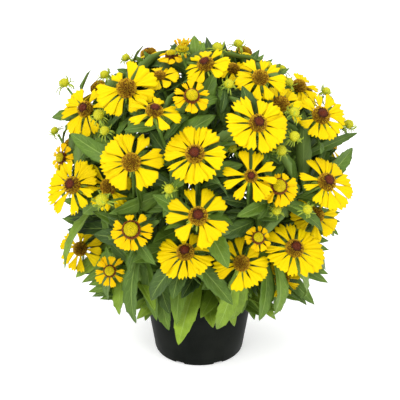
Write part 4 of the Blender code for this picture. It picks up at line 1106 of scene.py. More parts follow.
    def hides_bloom(self, leaf: Leaf) -> bool:
        """Whether a leaf would cover one of the seen blooms in the photograph's view.

        Args:
            leaf: The leaf.

        Returns:
            True where it would.
        """
        for bloom in self.blooms[:len(SEEN_BLOOMS)]:
            ahead = (bloom.middle - EYE).dot(bloom.facing)
            for share in (0.2, 0.4, 0.6, 0.8, 1.0):
                sight = leaf.point(share) - EYE
                far = ahead / sight.dot(bloom.facing)
                if far > 1.0 and (EYE + sight * far - bloom.middle).length < bloom.radius:
                    return True
        return False


def rule_leaf(spot: Vector, rising: Vector, length: float, width: float, turn: float,
              attempt: int) -> Leaf | None:
    """The leaf that one attempt of the rule gives.

    Args:
        spot: Where it leaves its stem.
        rising: The way the stem goes there.
        length: Its full length, of which some attempts take less.
        width: Its full width.
        turn: Its angle round the stem.
        attempt: The attempt's number, which changes its size, its way and its droop.

    Returns:
        The leaf, or None where it leaves the crown.
    """
    size = (1.0, 0.9, 0.78)[attempt % 3]
    flat = turned_axes(rising, turn + attempt * 0.9)[0]
    direction = (flat + rising * (0.55 + 0.1 * (attempt % 4))).normalized()
    out = Vector((spot.x, spot.y, 0.0)).normalized()
    if spot.z < 95.0 * MM:
        direction = (direction * 0.5 + out * 0.7 + raised(0.35)).normalized()
    droop = (0.8, 0.4, 1.1, 0.1)[attempt % 4]
    normal = face_up(direction, raised(0.55) + out)
    if normal is None:
        normal = square_to(direction)[0].normalized()
    leaf = Leaf(spot, direction, normal, length * size, width * size, droop)
    end = leaf.point(1.0)
    return None if crown_share(end, 14.0 * MM) > 1.0 and end.z > 90.0 * MM else leaf


def sticks_out(tip: Vector) -> bool:
    """Whether the tip of a small leaf would stand out of the bush."""
    if tip.z < UNDER_CROWN[1]:
        return tip.z < TIP_LOW or math.hypot(tip.x, tip.y) > TIP_WIDE
    return crown_share(tip) > TIP_CROWN


# Moulds and drafts

def deselect_all() -> None:
    """Leaves nothing selected."""
    for item in bpy.context.selected_objects:
        item.select_set(False)
    bpy.context.view_layer.objects.active = None


def pick(item: Object) -> None:
    """Makes an object the active one and the only one selected."""
    deselect_all()
    item.select_set(True)
    bpy.context.view_layer.objects.active = item


def add_primitive(operator: Callable[..., set], **values: object) -> Object:
    """Adds a primitive at its size and place, with both kept in its mesh."""
    deselect_all()
    operator(**values)
    bpy.ops.object.transform_apply(location=True, rotation=True, scale=True)
    return bpy.context.active_object


def edit_all() -> None:
    """Goes to edit mode with everything selected."""
    bpy.ops.object.mode_set(mode="EDIT")
    bpy.ops.mesh.select_all(action="SELECT")


def end_edit() -> None:
    """Goes back to object mode."""
    bpy.ops.object.mode_set(mode="OBJECT")


def select_faces(item: Object, wanted: Callable[[Vector], bool]) -> None:
    """Goes to edit mode and selects the faces whose normal passes a test.

    Args:
        item: The object.
        wanted: The test.
    """
    bpy.ops.object.mode_set(mode="EDIT")
    bpy.ops.mesh.select_mode(type="FACE")
    shell = bmesh.from_edit_mesh(item.data)
    for face in shell.faces:
        face.select_set(wanted(face.normal))
    shell.select_flush_mode()
    bmesh.update_edit_mesh(item.data)


def apply_modifier(item: Object, kind: str, **values: object) -> None:
    """Adds a modifier with these values and applies it."""
    made = item.modifiers.new(kind.lower(), kind)
    for name, value in values.items():
        setattr(made, name, value)
    bpy.context.view_layer.objects.active = item
    bpy.ops.object.modifier_apply(modifier=made.name)


def smoothstep(low: float, high: float, value: np.ndarray) -> np.ndarray:
    """A soft step from 0 to 1 between two values."""
    share = np.clip((value - low) / (high - low), 0.0, 1.0)
    return share * share * (3.0 - 2.0 * share)


def read(items: object, name: str, width: int = 1) -> np.ndarray:
    """A value of every item of a mesh's list: whole numbers, or rows of a width."""
    values = np.zeros(len(items) * width, np.int32 if width == 1 else float)
    items.foreach_get(name, values)
    return values if width == 1 else values.reshape(-1, width)


@dataclass
class Mould:
    """A shape modelled once, as arrays that its copies share: points, faces, UV and tone."""

    points: np.ndarray
    corners: np.ndarray
    starts: np.ndarray
    uv: np.ndarray
    tone: np.ndarray

    @classmethod
    def lift(cls, item: Object, uv: np.ndarray | None = None) -> "Mould":
        """Takes an object's mesh as a mould and removes the object.

        Args:
            item: The modelled object.
            uv: One UV place for each point, or None for none.

        Returns:
            The mould, with a tone of zero.
        """
        mesh = item.data
        points = read(mesh.vertices, "co", 3)
        uv = np.zeros((len(points), 2)) if uv is None else uv
        made = cls(points, read(mesh.loops, "vertex_index"), read(mesh.polygons, "loop_start"), uv,
                   np.zeros((len(points), 3)))
        bpy.data.objects.remove(item, do_unlink=True)
        bpy.data.meshes.remove(mesh)
        return made


class Draft:
    """Collects copies of moulds and makes one mesh of them."""

    def __init__(self) -> None:
        """Starts empty."""
        self.parts: list[Mould] = []
        self.point_count = 0
        self.corner_count = 0

    def add(self, mould: Mould, points: np.ndarray, tone: np.ndarray | tuple | None = None) -> None:
        """Adds a copy of a mould with its points moved, and with its own tone if one is given."""
        tone = mould.tone if tone is None else np.broadcast_to(tone, mould.tone.shape)
        self.parts.append(Mould(points, mould.corners + self.point_count,
                                mould.starts + self.corner_count, mould.uv, tone))
        self.point_count += len(points)
        self.corner_count += len(mould.corners)

    def as_mould(self) -> Mould:
        """All that was added, as one mould."""
        return Mould(*(np.concatenate([getattr(part, item.name) for part in self.parts])
                       for item in fields(Mould)))

    def make(self, name: str, finish: Material) -> Object:
        """Makes the piece: one smooth-shaded mesh with a UV map and a tone attribute.

        Args:
            name: Its name.
            finish: Its material.

        Returns:
            The piece.
        """
        whole = self.as_mould()
        mesh = bpy.data.meshes.new(name)
        mesh.vertices.add(len(whole.points))
        mesh.vertices.foreach_set("co", whole.points.ravel())
        mesh.loops.add(len(whole.corners))
        mesh.loops.foreach_set("vertex_index", whole.corners)
        mesh.polygons.add(len(whole.starts))
        mesh.polygons.foreach_set("loop_start", whole.starts)
        mesh.update(calc_edges=True)
        mesh.uv_layers.new(name=UV_NAME).data.foreach_set("uv", whole.uv[whole.corners].ravel())
        tone = mesh.color_attributes.new(TONE_NAME, "FLOAT_COLOR", "POINT")
        colours = np.concatenate((whole.tone, np.ones((len(whole.tone), 1))), axis=1)
        tone.data.foreach_set("color", colours.ravel())
        mesh.shade_smooth()
        mesh.materials.append(finish)
        made = bpy.data.objects.new(name, mesh)
        bpy.context.scene.collection.objects.link(made)
        return made


def shape_grid(columns: int, rows: int) -> tuple[Object, np.ndarray, np.ndarray]:
    """A flat grid primitive, and its points' places from -1 to 1 across and from 0 to 1 along it."""
    item = add_primitive(bpy.ops.mesh.primitive_grid_add, x_subdivisions=columns, y_subdivisions=rows,
                         size=2.0)
    flat = read(item.data.vertices, "co", 3)
    return item, flat[:, 0], (flat[:, 1] + 1.0) * 0.5


def thicken(item: Object, shape: tuple, thickness: float, x: np.ndarray, t: np.ndarray) -> Mould:
    """Gives a shaped sheet its points, a thickness and a rim, and takes it as a mould.

    Args:
        item: The grid object.
        shape: Where its points go: their places along the three axes.
        thickness: How thick the sheet gets, to both sides.
        x: Each point's place across the grid, for the UV map.
        t: Each point's place along it.

    Returns:
        The mould. Its third tone is 1 on the under side.
    """
    item.data.vertices.foreach_set("co", np.stack(shape, axis=1).ravel())
    item.data.update()
    places = np.stack(((x + 1.0) * 0.5, t), axis=1)[read(item.data.loops, "vertex_index")]
    item.data.uv_layers.new(name="places").data.foreach_set("uv", places.ravel())
    pick(item)
    edit_all()
    bpy.ops.mesh.remove_doubles(threshold=0.02 * MM)
    end_edit()
    sheet_count = len(item.data.vertices)
    apply_modifier(item, "SOLIDIFY", thickness=thickness, offset=0.0)
    uv = np.zeros((len(item.data.vertices), 2))
    uv[read(item.data.loops, "vertex_index")] = read(item.data.uv_layers[0].data, "uv", 2)
    mould = Mould.lift(item, uv)
    mould.tone[sheet_count:, 2] = 1.0
    return mould


def ball(segments: int, rings: int, radius: float, scale: tuple, cut: float | None = None) -> Mould:
    """Models a resized ball.

    Args:
        segments: How many faces it has round.
        rings: How many from pole to pole.
        radius: Its radius before it is resized.
        scale: The factors along the three axes.
        cut: The level below which it is cut off flat, or None.

    Returns:
        Its mould.
    """
    item = add_primitive(bpy.ops.mesh.primitive_uv_sphere_add, segments=segments, ring_count=rings,
                         radius=radius)
    edit_all()
    bpy.ops.transform.resize(value=scale)
    if cut is not None:
        bpy.ops.mesh.bisect(plane_co=(0.0, 0.0, cut), plane_no=(0.0, 0.0, 1.0), clear_inner=True,
                            use_fill=True)
    end_edit()
    return Mould.lift(item)


@dataclass(frozen=True)
class RayMould:
    """One yellow ray, modelled flat: +Y from its narrow claw to its lobed tip."""

    length: float = 22.0 * MM
    half_width: float = 6.4 * MM
    thickness: float = 0.35 * MM
    notch: float = 0.09
    lopsided: float = 0.0
    lobes: float = 1.32
    phase: float = 0.0
    pleat: float = 0.32 * MM
    fold: float = -0.8 * MM
    columns: int = 12
    rows: int = 9

    def build(self) -> Mould:
        """Models the ray and takes it as a mould."""
        item, x, t = shape_grid(self.columns, self.rows)
        wave = np.cos(math.tau * (self.lobes * x + self.phase))
        tip = 1.0 - self.notch * (0.5 - 0.5 * wave) * (1.0 + self.lopsided * x) - 0.13 * x ** 4
        along = t * (1.0 + (tip - 1.0) * smoothstep(0.62, 1.0, t))
        wide = 0.16 + 0.84 * np.sin(np.clip(t / 0.92, 0.0, 1.0) * math.pi / 2) ** 2.3
        wide *= 1.0 - 0.06 * smoothstep(0.90, 1.0, t)
        lift = self.pleat * wave * smoothstep(0.0, 0.45, t)
        lift += self.fold * x * x * smoothstep(0.1, 0.9, t)
        shape = (x * wide * self.half_width, along * self.length, lift)
        return thicken(item, shape, self.thickness, x, t)


@dataclass(frozen=True)
class LeafMould:
    """One lance-shaped leaf, modelled flat, with forward teeth and a wavy margin."""

    half_width: float = LEAF_WIDTH * 0.5
    thickness: float = 0.4 * MM
    peaks: tuple = (0.47, 0.60, 0.72, 0.83)
    tooth: float = 0.11
    wave: float = 0.7 * MM
    columns: int = 8
    near_rows: tuple = (0.0, 0.05, 0.12, 0.20, 0.28, 0.36)
    far_rows: tuple = (0.90, 0.96, 1.0)

    def build(self) -> Mould:
        """Models the leaf, LEAF_LENGTH long along +Y, and takes it as a mould."""
        teeth = [place for peak in self.peaks for place in (peak, peak + 0.02)]
        rows = np.array([*self.near_rows, *teeth, *self.far_rows])
        item, x, t = shape_grid(self.columns, len(rows) - 1)
        share = rows[np.rint(t * (len(rows) - 1)).astype(int)]
        near = np.sin(np.clip(share / 0.52, 0.0, 1.0) * math.pi / 2) ** 1.15
        far = np.cos(np.clip((share - 0.52) / 0.48, 0.0, 1.0) * math.pi / 2) ** 0.8
        half = np.where(share < 0.52, 0.13 + 0.87 * near, far)
        peaked = np.isin(np.round(share, 3), np.round(self.peaks, 3))
        toothed = 1.0 + self.tooth * np.where(peaked, 1.0, -0.25) * (share > 0.4) * (share < 0.86)
        inside = 1.0 + (toothed - 1.0) * smoothstep(0.45, 1.0, np.abs(x))
        across = x * half * inside * self.half_width
        lift = self.wave * np.sin(math.tau * (3.3 * share - 0.5 * np.abs(x)) + (x > 0) * 1.3) * np.abs(x)
        lift *= smoothstep(0.1, 0.4, share) * (1.0 - smoothstep(0.8, 1.0, share))
        lift -= 0.45 * MM * np.exp(-(x / 0.16) ** 2) * (1.0 - share)
        return thicken(item, (across, share * LEAF_LENGTH, lift), self.thickness, x, share)


@dataclass(frozen=True)
class BractMould:
    """One narrow green bract, modelled flat and one unit long."""

    half_width: float = 0.13
    thickness: float = 0.05
    rows: int = 5

    def build(self) -> Mould:
        """Models the bract and takes it as a mould."""
        item, x, t = shape_grid(2, self.rows)
        wide = np.sqrt(np.clip(1.0 - t, 0.0, 1.0)) * (0.8 + 0.5 * t)
        return thicken(item, (x * wide * self.half_width, t, 0.04 * np.abs(x)), self.thickness, x, t)


@dataclass(frozen=True)
class FloretMould:
    """One tiny tube floret, with an open mouth or a closed tip, one unit wide."""

    sides: int = 5
    foot_radius: float = 0.34
    lip_radius: float = 0.5
    height: float = 1.2
    mouth: float = 0.16
    depth: float = 0.45

    def build(self) -> Mould:
        """Models the floret standing on +Z and takes it as a mould. Its third tone is its height, also
        low in its sunken mouth, which the finishes paint as shade.
        """
        item = add_primitive(bpy.ops.mesh.primitive_cone_add, vertices=self.sides,
                             radius1=self.foot_radius, radius2=self.lip_radius, depth=self.height,
                             location=(0.0, 0.0, self.height * 0.5))
        if self.mouth > 0.0:
            select_faces(item, lambda normal: normal.z > 0.9)
            bpy.ops.mesh.inset(thickness=self.mouth, depth=0.0)
            bpy.ops.transform.translate(value=(0.0, 0.0, -self.depth))
            end_edit()
        mould = Mould.lift(item)
        share = mould.points[:, 2] / self.height
        # Painted shade: the foot and the sunken mouth get low tones, which the finishes darken.
        mould.tone[:, 2] = np.where((share > 0.1) & (share < 0.9), 0.25, share)
        return mould


def on_dome(count: int, first: float, last: float, radius: float, rise: float) -> Iterator[tuple]:
    """Even places on a dome by the golden angle.

    Args:
        count: How many on the whole dome, down to its last tilt.
        first: Tilt from the top where the places start, in radians.
        last: Tilt where they end.
        radius: The dome's radius.
        rise: Its height over its middle.

    Returns:
        The tilt and azimuth of each place, its point and the way out of the dome there.
    """
    for step in range(count):
        tilt = math.acos(1.0 - (1.0 - math.cos(last)) * (step + 0.5) / count)
        if tilt < first:
            continue
        azimuth = GOLDEN_TURN * step
        flat = level_out(azimuth)
        point = flat * (radius * math.sin(tilt)) + raised(rise * math.cos(tilt))
        out = flat * (math.sin(tilt) / radius) + raised(math.cos(tilt) / rise)
        yield tilt, azimuth, point, out.normalized()


def stood_on(mould: Mould, point: Vector, out: Vector, size: float, height: float,
             turn: float) -> np.ndarray:
    """A mould's points stood on a surface point, along its way out."""
    axes = np.array(turned_axes(out, turn))
    return np.array(point) + (mould.points * np.array((size, size, height))) @ axes


# How wide a stage's core is in shares of the disc, so that its florets end at the disc's edge.
DISC_SHARES = {Stage.FULL: 0.44, Stage.CAPPED: 0.44, Stage.YOUNG: 0.49, Stage.OPENING: 0.49}


@dataclass(frozen=True)
class DiscShape:
    """The round disc of one stage, one unit in radius: a core dome covered with florets."""

    stage: Stage
    rise: float
    count: int
    cap_tilt: float
    cap_kind: FloretKind
    ring_kind: FloretKind
    floret_size: float
    bump_size: float
    last_tilt: float = math.radians(112.0)

    def build(self, floret: Mould, bump: Mould) -> Mould:
        """Covers the core: open florets round the foot, closed ones over the cap.

        Args:
            floret: The open floret.
            bump: The closed one.

        Returns:
            One mould for the whole disc. Its tones are chance, the kind of floret and the height; over
            the cap the height also falls from its top to its rim, for a painted highlight and painted
            shade.
        """
        chance = random.Random(SEED + len(self.stage.value))
        draft = Draft()
        high = self.rise * 0.92
        core = ball(28, 16, 1.0, (0.90, 0.90, high), -0.42 * self.rise)
        tilt = np.arccos(np.clip(core.points[:, 2] / high, -1.0, 1.0))
        cap = self.cap_kind.value * (1.0 - smoothstep(self.cap_tilt - 0.1, self.cap_tilt + 0.1, tilt))
        # The core between the florets gets a height of 0, which the finish paints as shade.
        draft.add(core, core.points, np.stack((np.full(len(tilt), 0.5), cap, tilt * 0.0), axis=1))
        ring = on_dome(self.count, self.cap_tilt, self.last_tilt, 0.90, self.rise * 0.90)
        for tilt, azimuth, point, out in ring:
            rim = (tilt - self.cap_tilt) / (self.last_tilt - self.cap_tilt)
            size = self.floret_size * chance.uniform(0.85, 1.1)
            height = size * (0.8 + 0.4 * math.sin(rim * math.pi)) * chance.uniform(0.85, 1.15)
            draft.add(floret, stood_on(floret, point, out, size, height, azimuth),
                      floret.tone + np.array((chance.random(), self.ring_kind.value, 0.0)))
        share = (1.0 - math.cos(self.cap_tilt)) / (1.0 - math.cos(self.last_tilt))
        small = int(self.count * share * (self.floret_size / self.bump_size) ** 2)
        for tilt, azimuth, point, out in on_dome(small, 0.0, self.cap_tilt, 0.93, self.rise * 0.98):
            tone = bump.tone + np.array((chance.random(), self.cap_kind.value, 0.0))
            # Painted highlight and shade: the cap's bumps are lighter toward its top and darker toward
            # its rim and at their feet.
            tone[:, 2] = (0.4 + 0.6 * tone[:, 2]) * (1.0 - 0.8 * (tilt / self.cap_tilt) ** 3)
            size = self.bump_size
            draft.add(bump, stood_on(bump, point, out, size, size * 0.25, azimuth), tone)
        return draft.as_mould()


@dataclass(frozen=True)
class BudShape:
    """One bud, one unit in radius: a bumpy ball held by curly bracts."""

    bumps: int = 70
    bracts: int = 24

    def build(self, bump: Mould, bract: Mould) -> Mould:
        """Puts the ball, its bumps and its bracts together.

        Args:
            bump: The closed floret.
            bract: The flat bract.

        Returns:
            One mould. Its second tone is 1 on the ball.
        """
        chance = random.Random(SEED + 3)
        middle = ball(16, 10, 0.92, (1.0, 1.0, 0.92))
        draft = Draft()
        # The ball's low height gives it painted shade between the bumps in the finish.
        draft.add(middle, middle.points, (0.4, 1.0, 0.2))
        for _, azimuth, point, out in on_dome(self.bumps, 0.0, math.radians(125.0), 0.90, 0.86):
            tone = bump.tone + np.array((chance.random(), 1.0, 0.0))
            draft.add(bump, stood_on(bump, point, out, 0.22, 0.08, azimuth), tone)
        for step in range(self.bracts):
            azimuth = math.tau * step / self.bracts + chance.uniform(-0.2, 0.2)
            curl = chance.choice((-1.0, 1.0)) * chance.uniform(1.0, 2.4)
            points = curled(bract, azimuth, 0.45, -0.62, chance.uniform(1.3, 2.0),
                            chance.uniform(-0.5, 0.7), curl, 0.58)
            draft.add(bract, points, (chance.random(), 0.45, 0.0))
        return draft.as_mould()


def curled(bract: Mould, azimuth: float, start: float, level: float, length: float, rise: float,
           curl: float, width: float) -> np.ndarray:
    """A bract's points, leaving a round foot at an azimuth and curling on its way out.

    Args:
        bract: The flat bract.
        azimuth: Where round the foot it starts.
        start: How far from the axis it starts.
        level: How high it starts.
        length: Its length.
        rise: The angle above level at which it leaves.
        curl: How far it turns up or down on its way, in radians, and never 0.
        width: A factor on its width.

    Returns:
        The points round the +Z axis.
    """
    x, t, z = bract.points.T
    angle = rise + curl * t
    reach = start + length * (np.sin(angle) - math.sin(rise)) / curl - z * length * np.sin(angle)
    height = level - length * (np.cos(angle) - math.cos(rise)) / curl + z * length * np.cos(angle)
    across = x * length * width
    c, s = math.cos(azimuth), math.sin(azimuth)
    return np.stack((reach * c - across * s, reach * s + across * c, height), axis=1)


class Moulds:
    """Every mould of the plant, modelled once."""

    def __init__(self) -> None:
        """Models them all."""
        self.rays = [
            RayMould().build(),
            RayMould(notch=0.15, lopsided=0.6, pleat=0.5 * MM).build(),
            RayMould(notch=0.07, lobes=1.9, lopsided=-0.6, fold=0.9 * MM).build(),
            RayMould(notch=0.16, lobes=0.95, phase=0.5, pleat=0.6 * MM).build(),
            RayMould(notch=0.12, half_width=4.8 * MM, fold=3.0 * MM, pleat=0.4 * MM).build(),
        ]
        self.leaves = [
            LeafMould().build(),
            LeafMould(peaks=(0.42, 0.56, 0.70, 0.82), tooth=0.15, wave=1.0 * MM).build(),
            LeafMould(peaks=(0.50, 0.66, 0.80), tooth=0.08, wave=0.5 * MM).build(),
        ]
        light = {"columns": 4, "near_rows": (0.0, 0.10, 0.24, 0.40), "far_rows": (0.90, 1.0)}
        self.small_leaves = [
            LeafMould(peaks=(0.56, 0.74), tooth=0.14, **light).build(),
            LeafMould(peaks=(0.50, 0.78), tooth=0.08, wave=1.1 * MM, **light).build(),
        ]
        floret = FloretMould().build()
        bump = FloretMould(foot_radius=0.55, lip_radius=0.22, height=0.8, mouth=0.0).build()
        self.bract = BractMould().build()
        ochre, maroon, brown, lime = (FloretKind.OCHRE, FloretKind.MAROON, FloretKind.BROWN,
                                      FloretKind.LIME)
        shapes = (
            DiscShape(Stage.FULL, rise=0.86, count=225, cap_tilt=math.radians(10.0),
                      cap_kind=ochre, ring_kind=ochre, floret_size=0.18, bump_size=0.11),
            DiscShape(Stage.CAPPED, rise=0.94, count=225, cap_tilt=math.radians(42.0),
                      cap_kind=maroon, ring_kind=ochre, floret_size=0.18, bump_size=0.12),
            DiscShape(Stage.YOUNG, rise=0.98, count=230, cap_tilt=math.radians(68.0),
                      cap_kind=lime, ring_kind=brown, floret_size=0.17, bump_size=0.14),
            DiscShape(Stage.OPENING, rise=0.84, count=230, cap_tilt=math.radians(80.0),
                      cap_kind=lime, ring_kind=lime, floret_size=0.17, bump_size=0.14),
        )
        self.discs = {shape.stage: shape.build(floret, bump) for shape in shapes}
        self.bud = BudShape().build(bump, self.bract)


# Finishes

class Bench:
    """A node tree with short ways to add and join nodes."""

    def __init__(self, tree: bpy.types.NodeTree) -> None:
        """Works on one tree, and on its shader where it has one."""
        self.tree = tree
        self.shader = tree.nodes.get("Principled BSDF")

    def feed(self, target: Socket, value: object) -> None:
        """Joins a socket to an input, or sets the input to anything else."""
        if isinstance(value, Socket):
            self.tree.links.new(value, target)
        else:
            target.default_value = (*value, 1.0) if target.type == "RGBA" else value

    def add(self, kind: str, values: dict, **settings: object) -> bpy.types.Node:
        """Adds a node.

        Args:
            kind: The node's type.
            values: What feeds its inputs, by their name or number.
            settings: Its own settings.

        Returns:
            The node.
        """
        node = self.tree.nodes.new(kind)
        for name, value in settings.items():
            setattr(node, name, value)
        for name, value in values.items():
            self.feed(node.inputs[name], value)
        return node

    def math(self, operation: str, *values: object) -> Socket:
        """A product, difference or other function of one to three values."""
        return self.add("ShaderNodeMath", dict(enumerate(values)), operation=operation).outputs[0]

    def times(self, first: object, second: object) -> Socket:
        """The product of two values."""
        return self.math("MULTIPLY", first, second)

    def total(self, *weighed: tuple) -> Socket:
        """The sum of values, each times its weight."""
        whole = 0.0
        for value, weight in weighed:
            whole = self.math("MULTIPLY_ADD", value, weight, whole)
        return whole

    def ramp(self, value: Socket, low: float, high: float, to_low: float = 0.0,
             to_high: float = 1.0) -> Socket:
        """A soft step of a value from one number to another."""
        values = {"Value": value, "From Min": low, "From Max": high, "To Min": to_low, "To Max": to_high}
        return self.add("ShaderNodeMapRange", values, interpolation_type="SMOOTHSTEP").outputs["Result"]

    def mix(self, factor: object, first: object, second: object, blend: str = "MIX") -> Socket:
        """A mix of two colours."""
        return self.add("ShaderNodeMix", {0: factor, 6: first, 7: second}, data_type="RGBA",
                        blend_type=blend).outputs[2]

    def noise(self, place: Socket, scale: float, detail: float = 3.0,
              roughness: float = 0.55) -> Socket:
        """Soft noise from 0 to 1."""
        values = {"Vector": place, "Scale": scale, "Detail": detail, "Roughness": roughness}
        return self.add("ShaderNodeTexNoise", values).outputs["Fac"]

    def parts(self, vector: Socket) -> tuple[Socket, Socket]:
        """A vector's first two numbers."""
        node = self.add("ShaderNodeSeparateXYZ", {0: vector})
        return node.outputs["X"], node.outputs["Y"]

    def grain(self, kit: "Kit", patches: float, grain: float, first: tuple, second: tuple) -> Surface:
        """The colour and the height of the grain group on Object coordinates."""
        place = self.add("ShaderNodeTexCoord", {}).outputs["Object"]
        values = {"Vector": place, "Patches": patches, "Grain": grain, "First": first, "Second": second}
        node = self.add("ShaderNodeGroup", values, node_tree=kit.grain)
        return node.outputs["Colour"], node.outputs["Height"]

    def tones(self) -> list[Socket]:
        """The three tones of a piece."""
        tone = self.add("ShaderNodeAttribute", {}, attribute_name=TONE_NAME).outputs["Color"]
        return list(self.add("ShaderNodeSeparateColor", {0: tone}).outputs)

    def uv(self) -> Socket:
        """The UV map of a piece."""
        return self.add("ShaderNodeUVMap", {}, uv_map=UV_NAME).outputs["UV"]


def new_group(name: str, inputs: dict[str, str], outputs: dict[str, str]) -> tuple[Bench, dict, dict]:
    """An empty shader node group with named sockets.

    Args:
        name: The group's name.
        inputs: The kind of each input by its name.
        outputs: The kind of each output by its name.

    Returns:
        A bench on the group, its inputs by name and the output node's sockets by name.
    """
    tree = bpy.data.node_groups.new(name, "ShaderNodeTree")
    for way, sockets in (("INPUT", inputs), ("OUTPUT", outputs)):
        for socket, kind in sockets.items():
            tree.interface.new_socket(socket, in_out=way, socket_type="NodeSocket" + kind)
    source = tree.nodes.new("NodeGroupInput")
    target = tree.nodes.new("NodeGroupOutput")
    return (Bench(tree), {key: source.outputs[key] for key in inputs},
            {key: target.inputs[key] for key in outputs})


def grain_group() -> bpy.types.NodeTree:
    """Two tones of a colour in soft patches with fine grain, and the grain's height."""
    bench, given, wanted = new_group(
        "two_tone_grain",
        {"Vector": "Vector", "First": "Color", "Second": "Color", "Patches": "Float", "Grain": "Float"},
        {"Colour": "Color", "Height": "Float"})
    patches = bench.noise(given["Vector"], given["Patches"])
    grain = bench.noise(given["Vector"], given["Grain"], 4.0, 0.65)
    both = bench.total((patches, 0.6), (grain, 0.4))
    bench.feed(wanted["Colour"], bench.mix(bench.ramp(both, 0.38, 0.62), given["First"], given["Second"]))
    bench.feed(wanted["Height"], grain)
    return bench.tree


def veins_group() -> bpy.types.NodeTree:
    """The veins of a leaf or bract from its UV map: a midrib and slanting side veins."""
    bench, given, wanted = new_group("leaf_veins", {"UV": "Vector", "Pairs": "Float"},
                                     {"Midrib": "Float", "Side veins": "Float"})
    across, along = bench.parts(given["UV"])
    off = bench.math("ABSOLUTE", bench.math("SUBTRACT", across, 0.5))
    slant = bench.total((along, 1.0), (off, -0.42))
    wave = bench.math("PINGPONG", bench.times(slant, given["Pairs"]), 0.5)
    side = bench.times(bench.ramp(wave, 0.0, 0.10, 1.0, 0.0), bench.ramp(off, 0.26, 0.46, 1.0, 0.0))
    bench.feed(wanted["Midrib"], bench.ramp(off, 0.0, 0.045, 1.0, 0.0))
    bench.feed(wanted["Side veins"], side)
    return bench.tree


class Kit:
    """The node groups that more than one finish uses, built once."""

    def __init__(self) -> None:
        """Builds them."""
        self.grain = grain_group()
        self.veins = veins_group()


@dataclass(frozen=True)
class Finish:
    """A finish: its material's name, how rough and uneven it is, and how much it mirrors."""

    name: str
    roughness: float
    bump: float
    bump_depth: float
    specular: float = 0.5

    def make(self, kit: Kit) -> Material:
        """Makes the material."""
        made = bpy.data.materials.new(self.name)
        made.use_nodes = True
        bench = Bench(made.node_tree)
        inputs = bench.shader.inputs
        bench.feed(inputs["Roughness"], self.roughness)
        bench.feed(inputs["Specular IOR Level"], self.specular)
        colour, height = self.paint(bench, kit)
        bench.feed(inputs["Base Color"], colour)
        bump = bench.add("ShaderNodeBump", {"Height": height, "Strength": self.bump,
                                            "Distance": self.bump_depth})
        bench.feed(inputs["Normal"], bump.outputs["Normal"])
        return made

    def paint(self, bench: Bench, kit: Kit) -> Surface:
        """Builds the finish's own nodes.

        Args:
            bench: The material's nodes.
            kit: The shared groups.

        Returns:
            The colour and the height of the surface.
        """
        raise NotImplementedError


@dataclass(frozen=True)
class PetalFinish(Finish):
    """Saturated yellow with fine lengthwise streaks, golden painted shade in the pleat grooves and darker
    painted shade along the rays' sides.
    """

    yellow: tuple = (0.70, 0.54, 0.0)
    golden: tuple = (0.74, 0.40, 0.0)
    amber: tuple = (0.60, 0.22, 0.0)
    # Painted shade along the rays' sides, where they overlap.
    edge: tuple = (0.36, 0.21, 0.0)

    def paint(self, bench: Bench, kit: Kit) -> Surface:
        """The colour and the height of the surface."""
        place, uv = bench.add("ShaderNodeTexCoord", {}).outputs["Object"], bench.uv()
        chance, ripe, _ = bench.tones()
        stretched = bench.add("ShaderNodeMapping", {"Vector": uv, "Scale": (26.0, 1.6, 1.0)})
        shifted = bench.add("ShaderNodeVectorMath", {0: stretched.outputs[0], 1: place},
                            operation="ADD")
        streaks = bench.noise(shifted.outputs[0], 1.0, 2.0)
        across, along = bench.parts(uv)
        pleats = bench.math("PINGPONG", bench.times(across, 3.0), 0.5)
        # Painted shade: the pleat grooves turn golden.
        groove_shade = bench.times(bench.ramp(pleats, 0.16, 0.0), bench.ramp(along, 1.0, 0.2))
        patches = bench.ramp(bench.noise(place, 70.0, 2.0), 0.55, 0.8)
        gold = bench.total((bench.ramp(streaks, 0.50, 0.80), 0.35), (groove_shade, 0.22), (patches, 0.2),
                           (ripe, 0.6), (chance, 0.12))
        colour = bench.mix(gold, self.yellow, self.golden)
        off = bench.math("ABSOLUTE", bench.math("SUBTRACT", across, 0.5))
        # Painted shade: a darker ochre line along each ray's sides, as if cast where rays overlap.
        colour = bench.mix(bench.ramp(off, 0.40, 0.50, 0.0, 0.5), colour, self.edge)
        colour = bench.mix(bench.ramp(along, 0.16, 0.0, 0.0, 0.55), colour, self.amber)
        return colour, bench.total((streaks, 1.0), (pleats, 0.4))


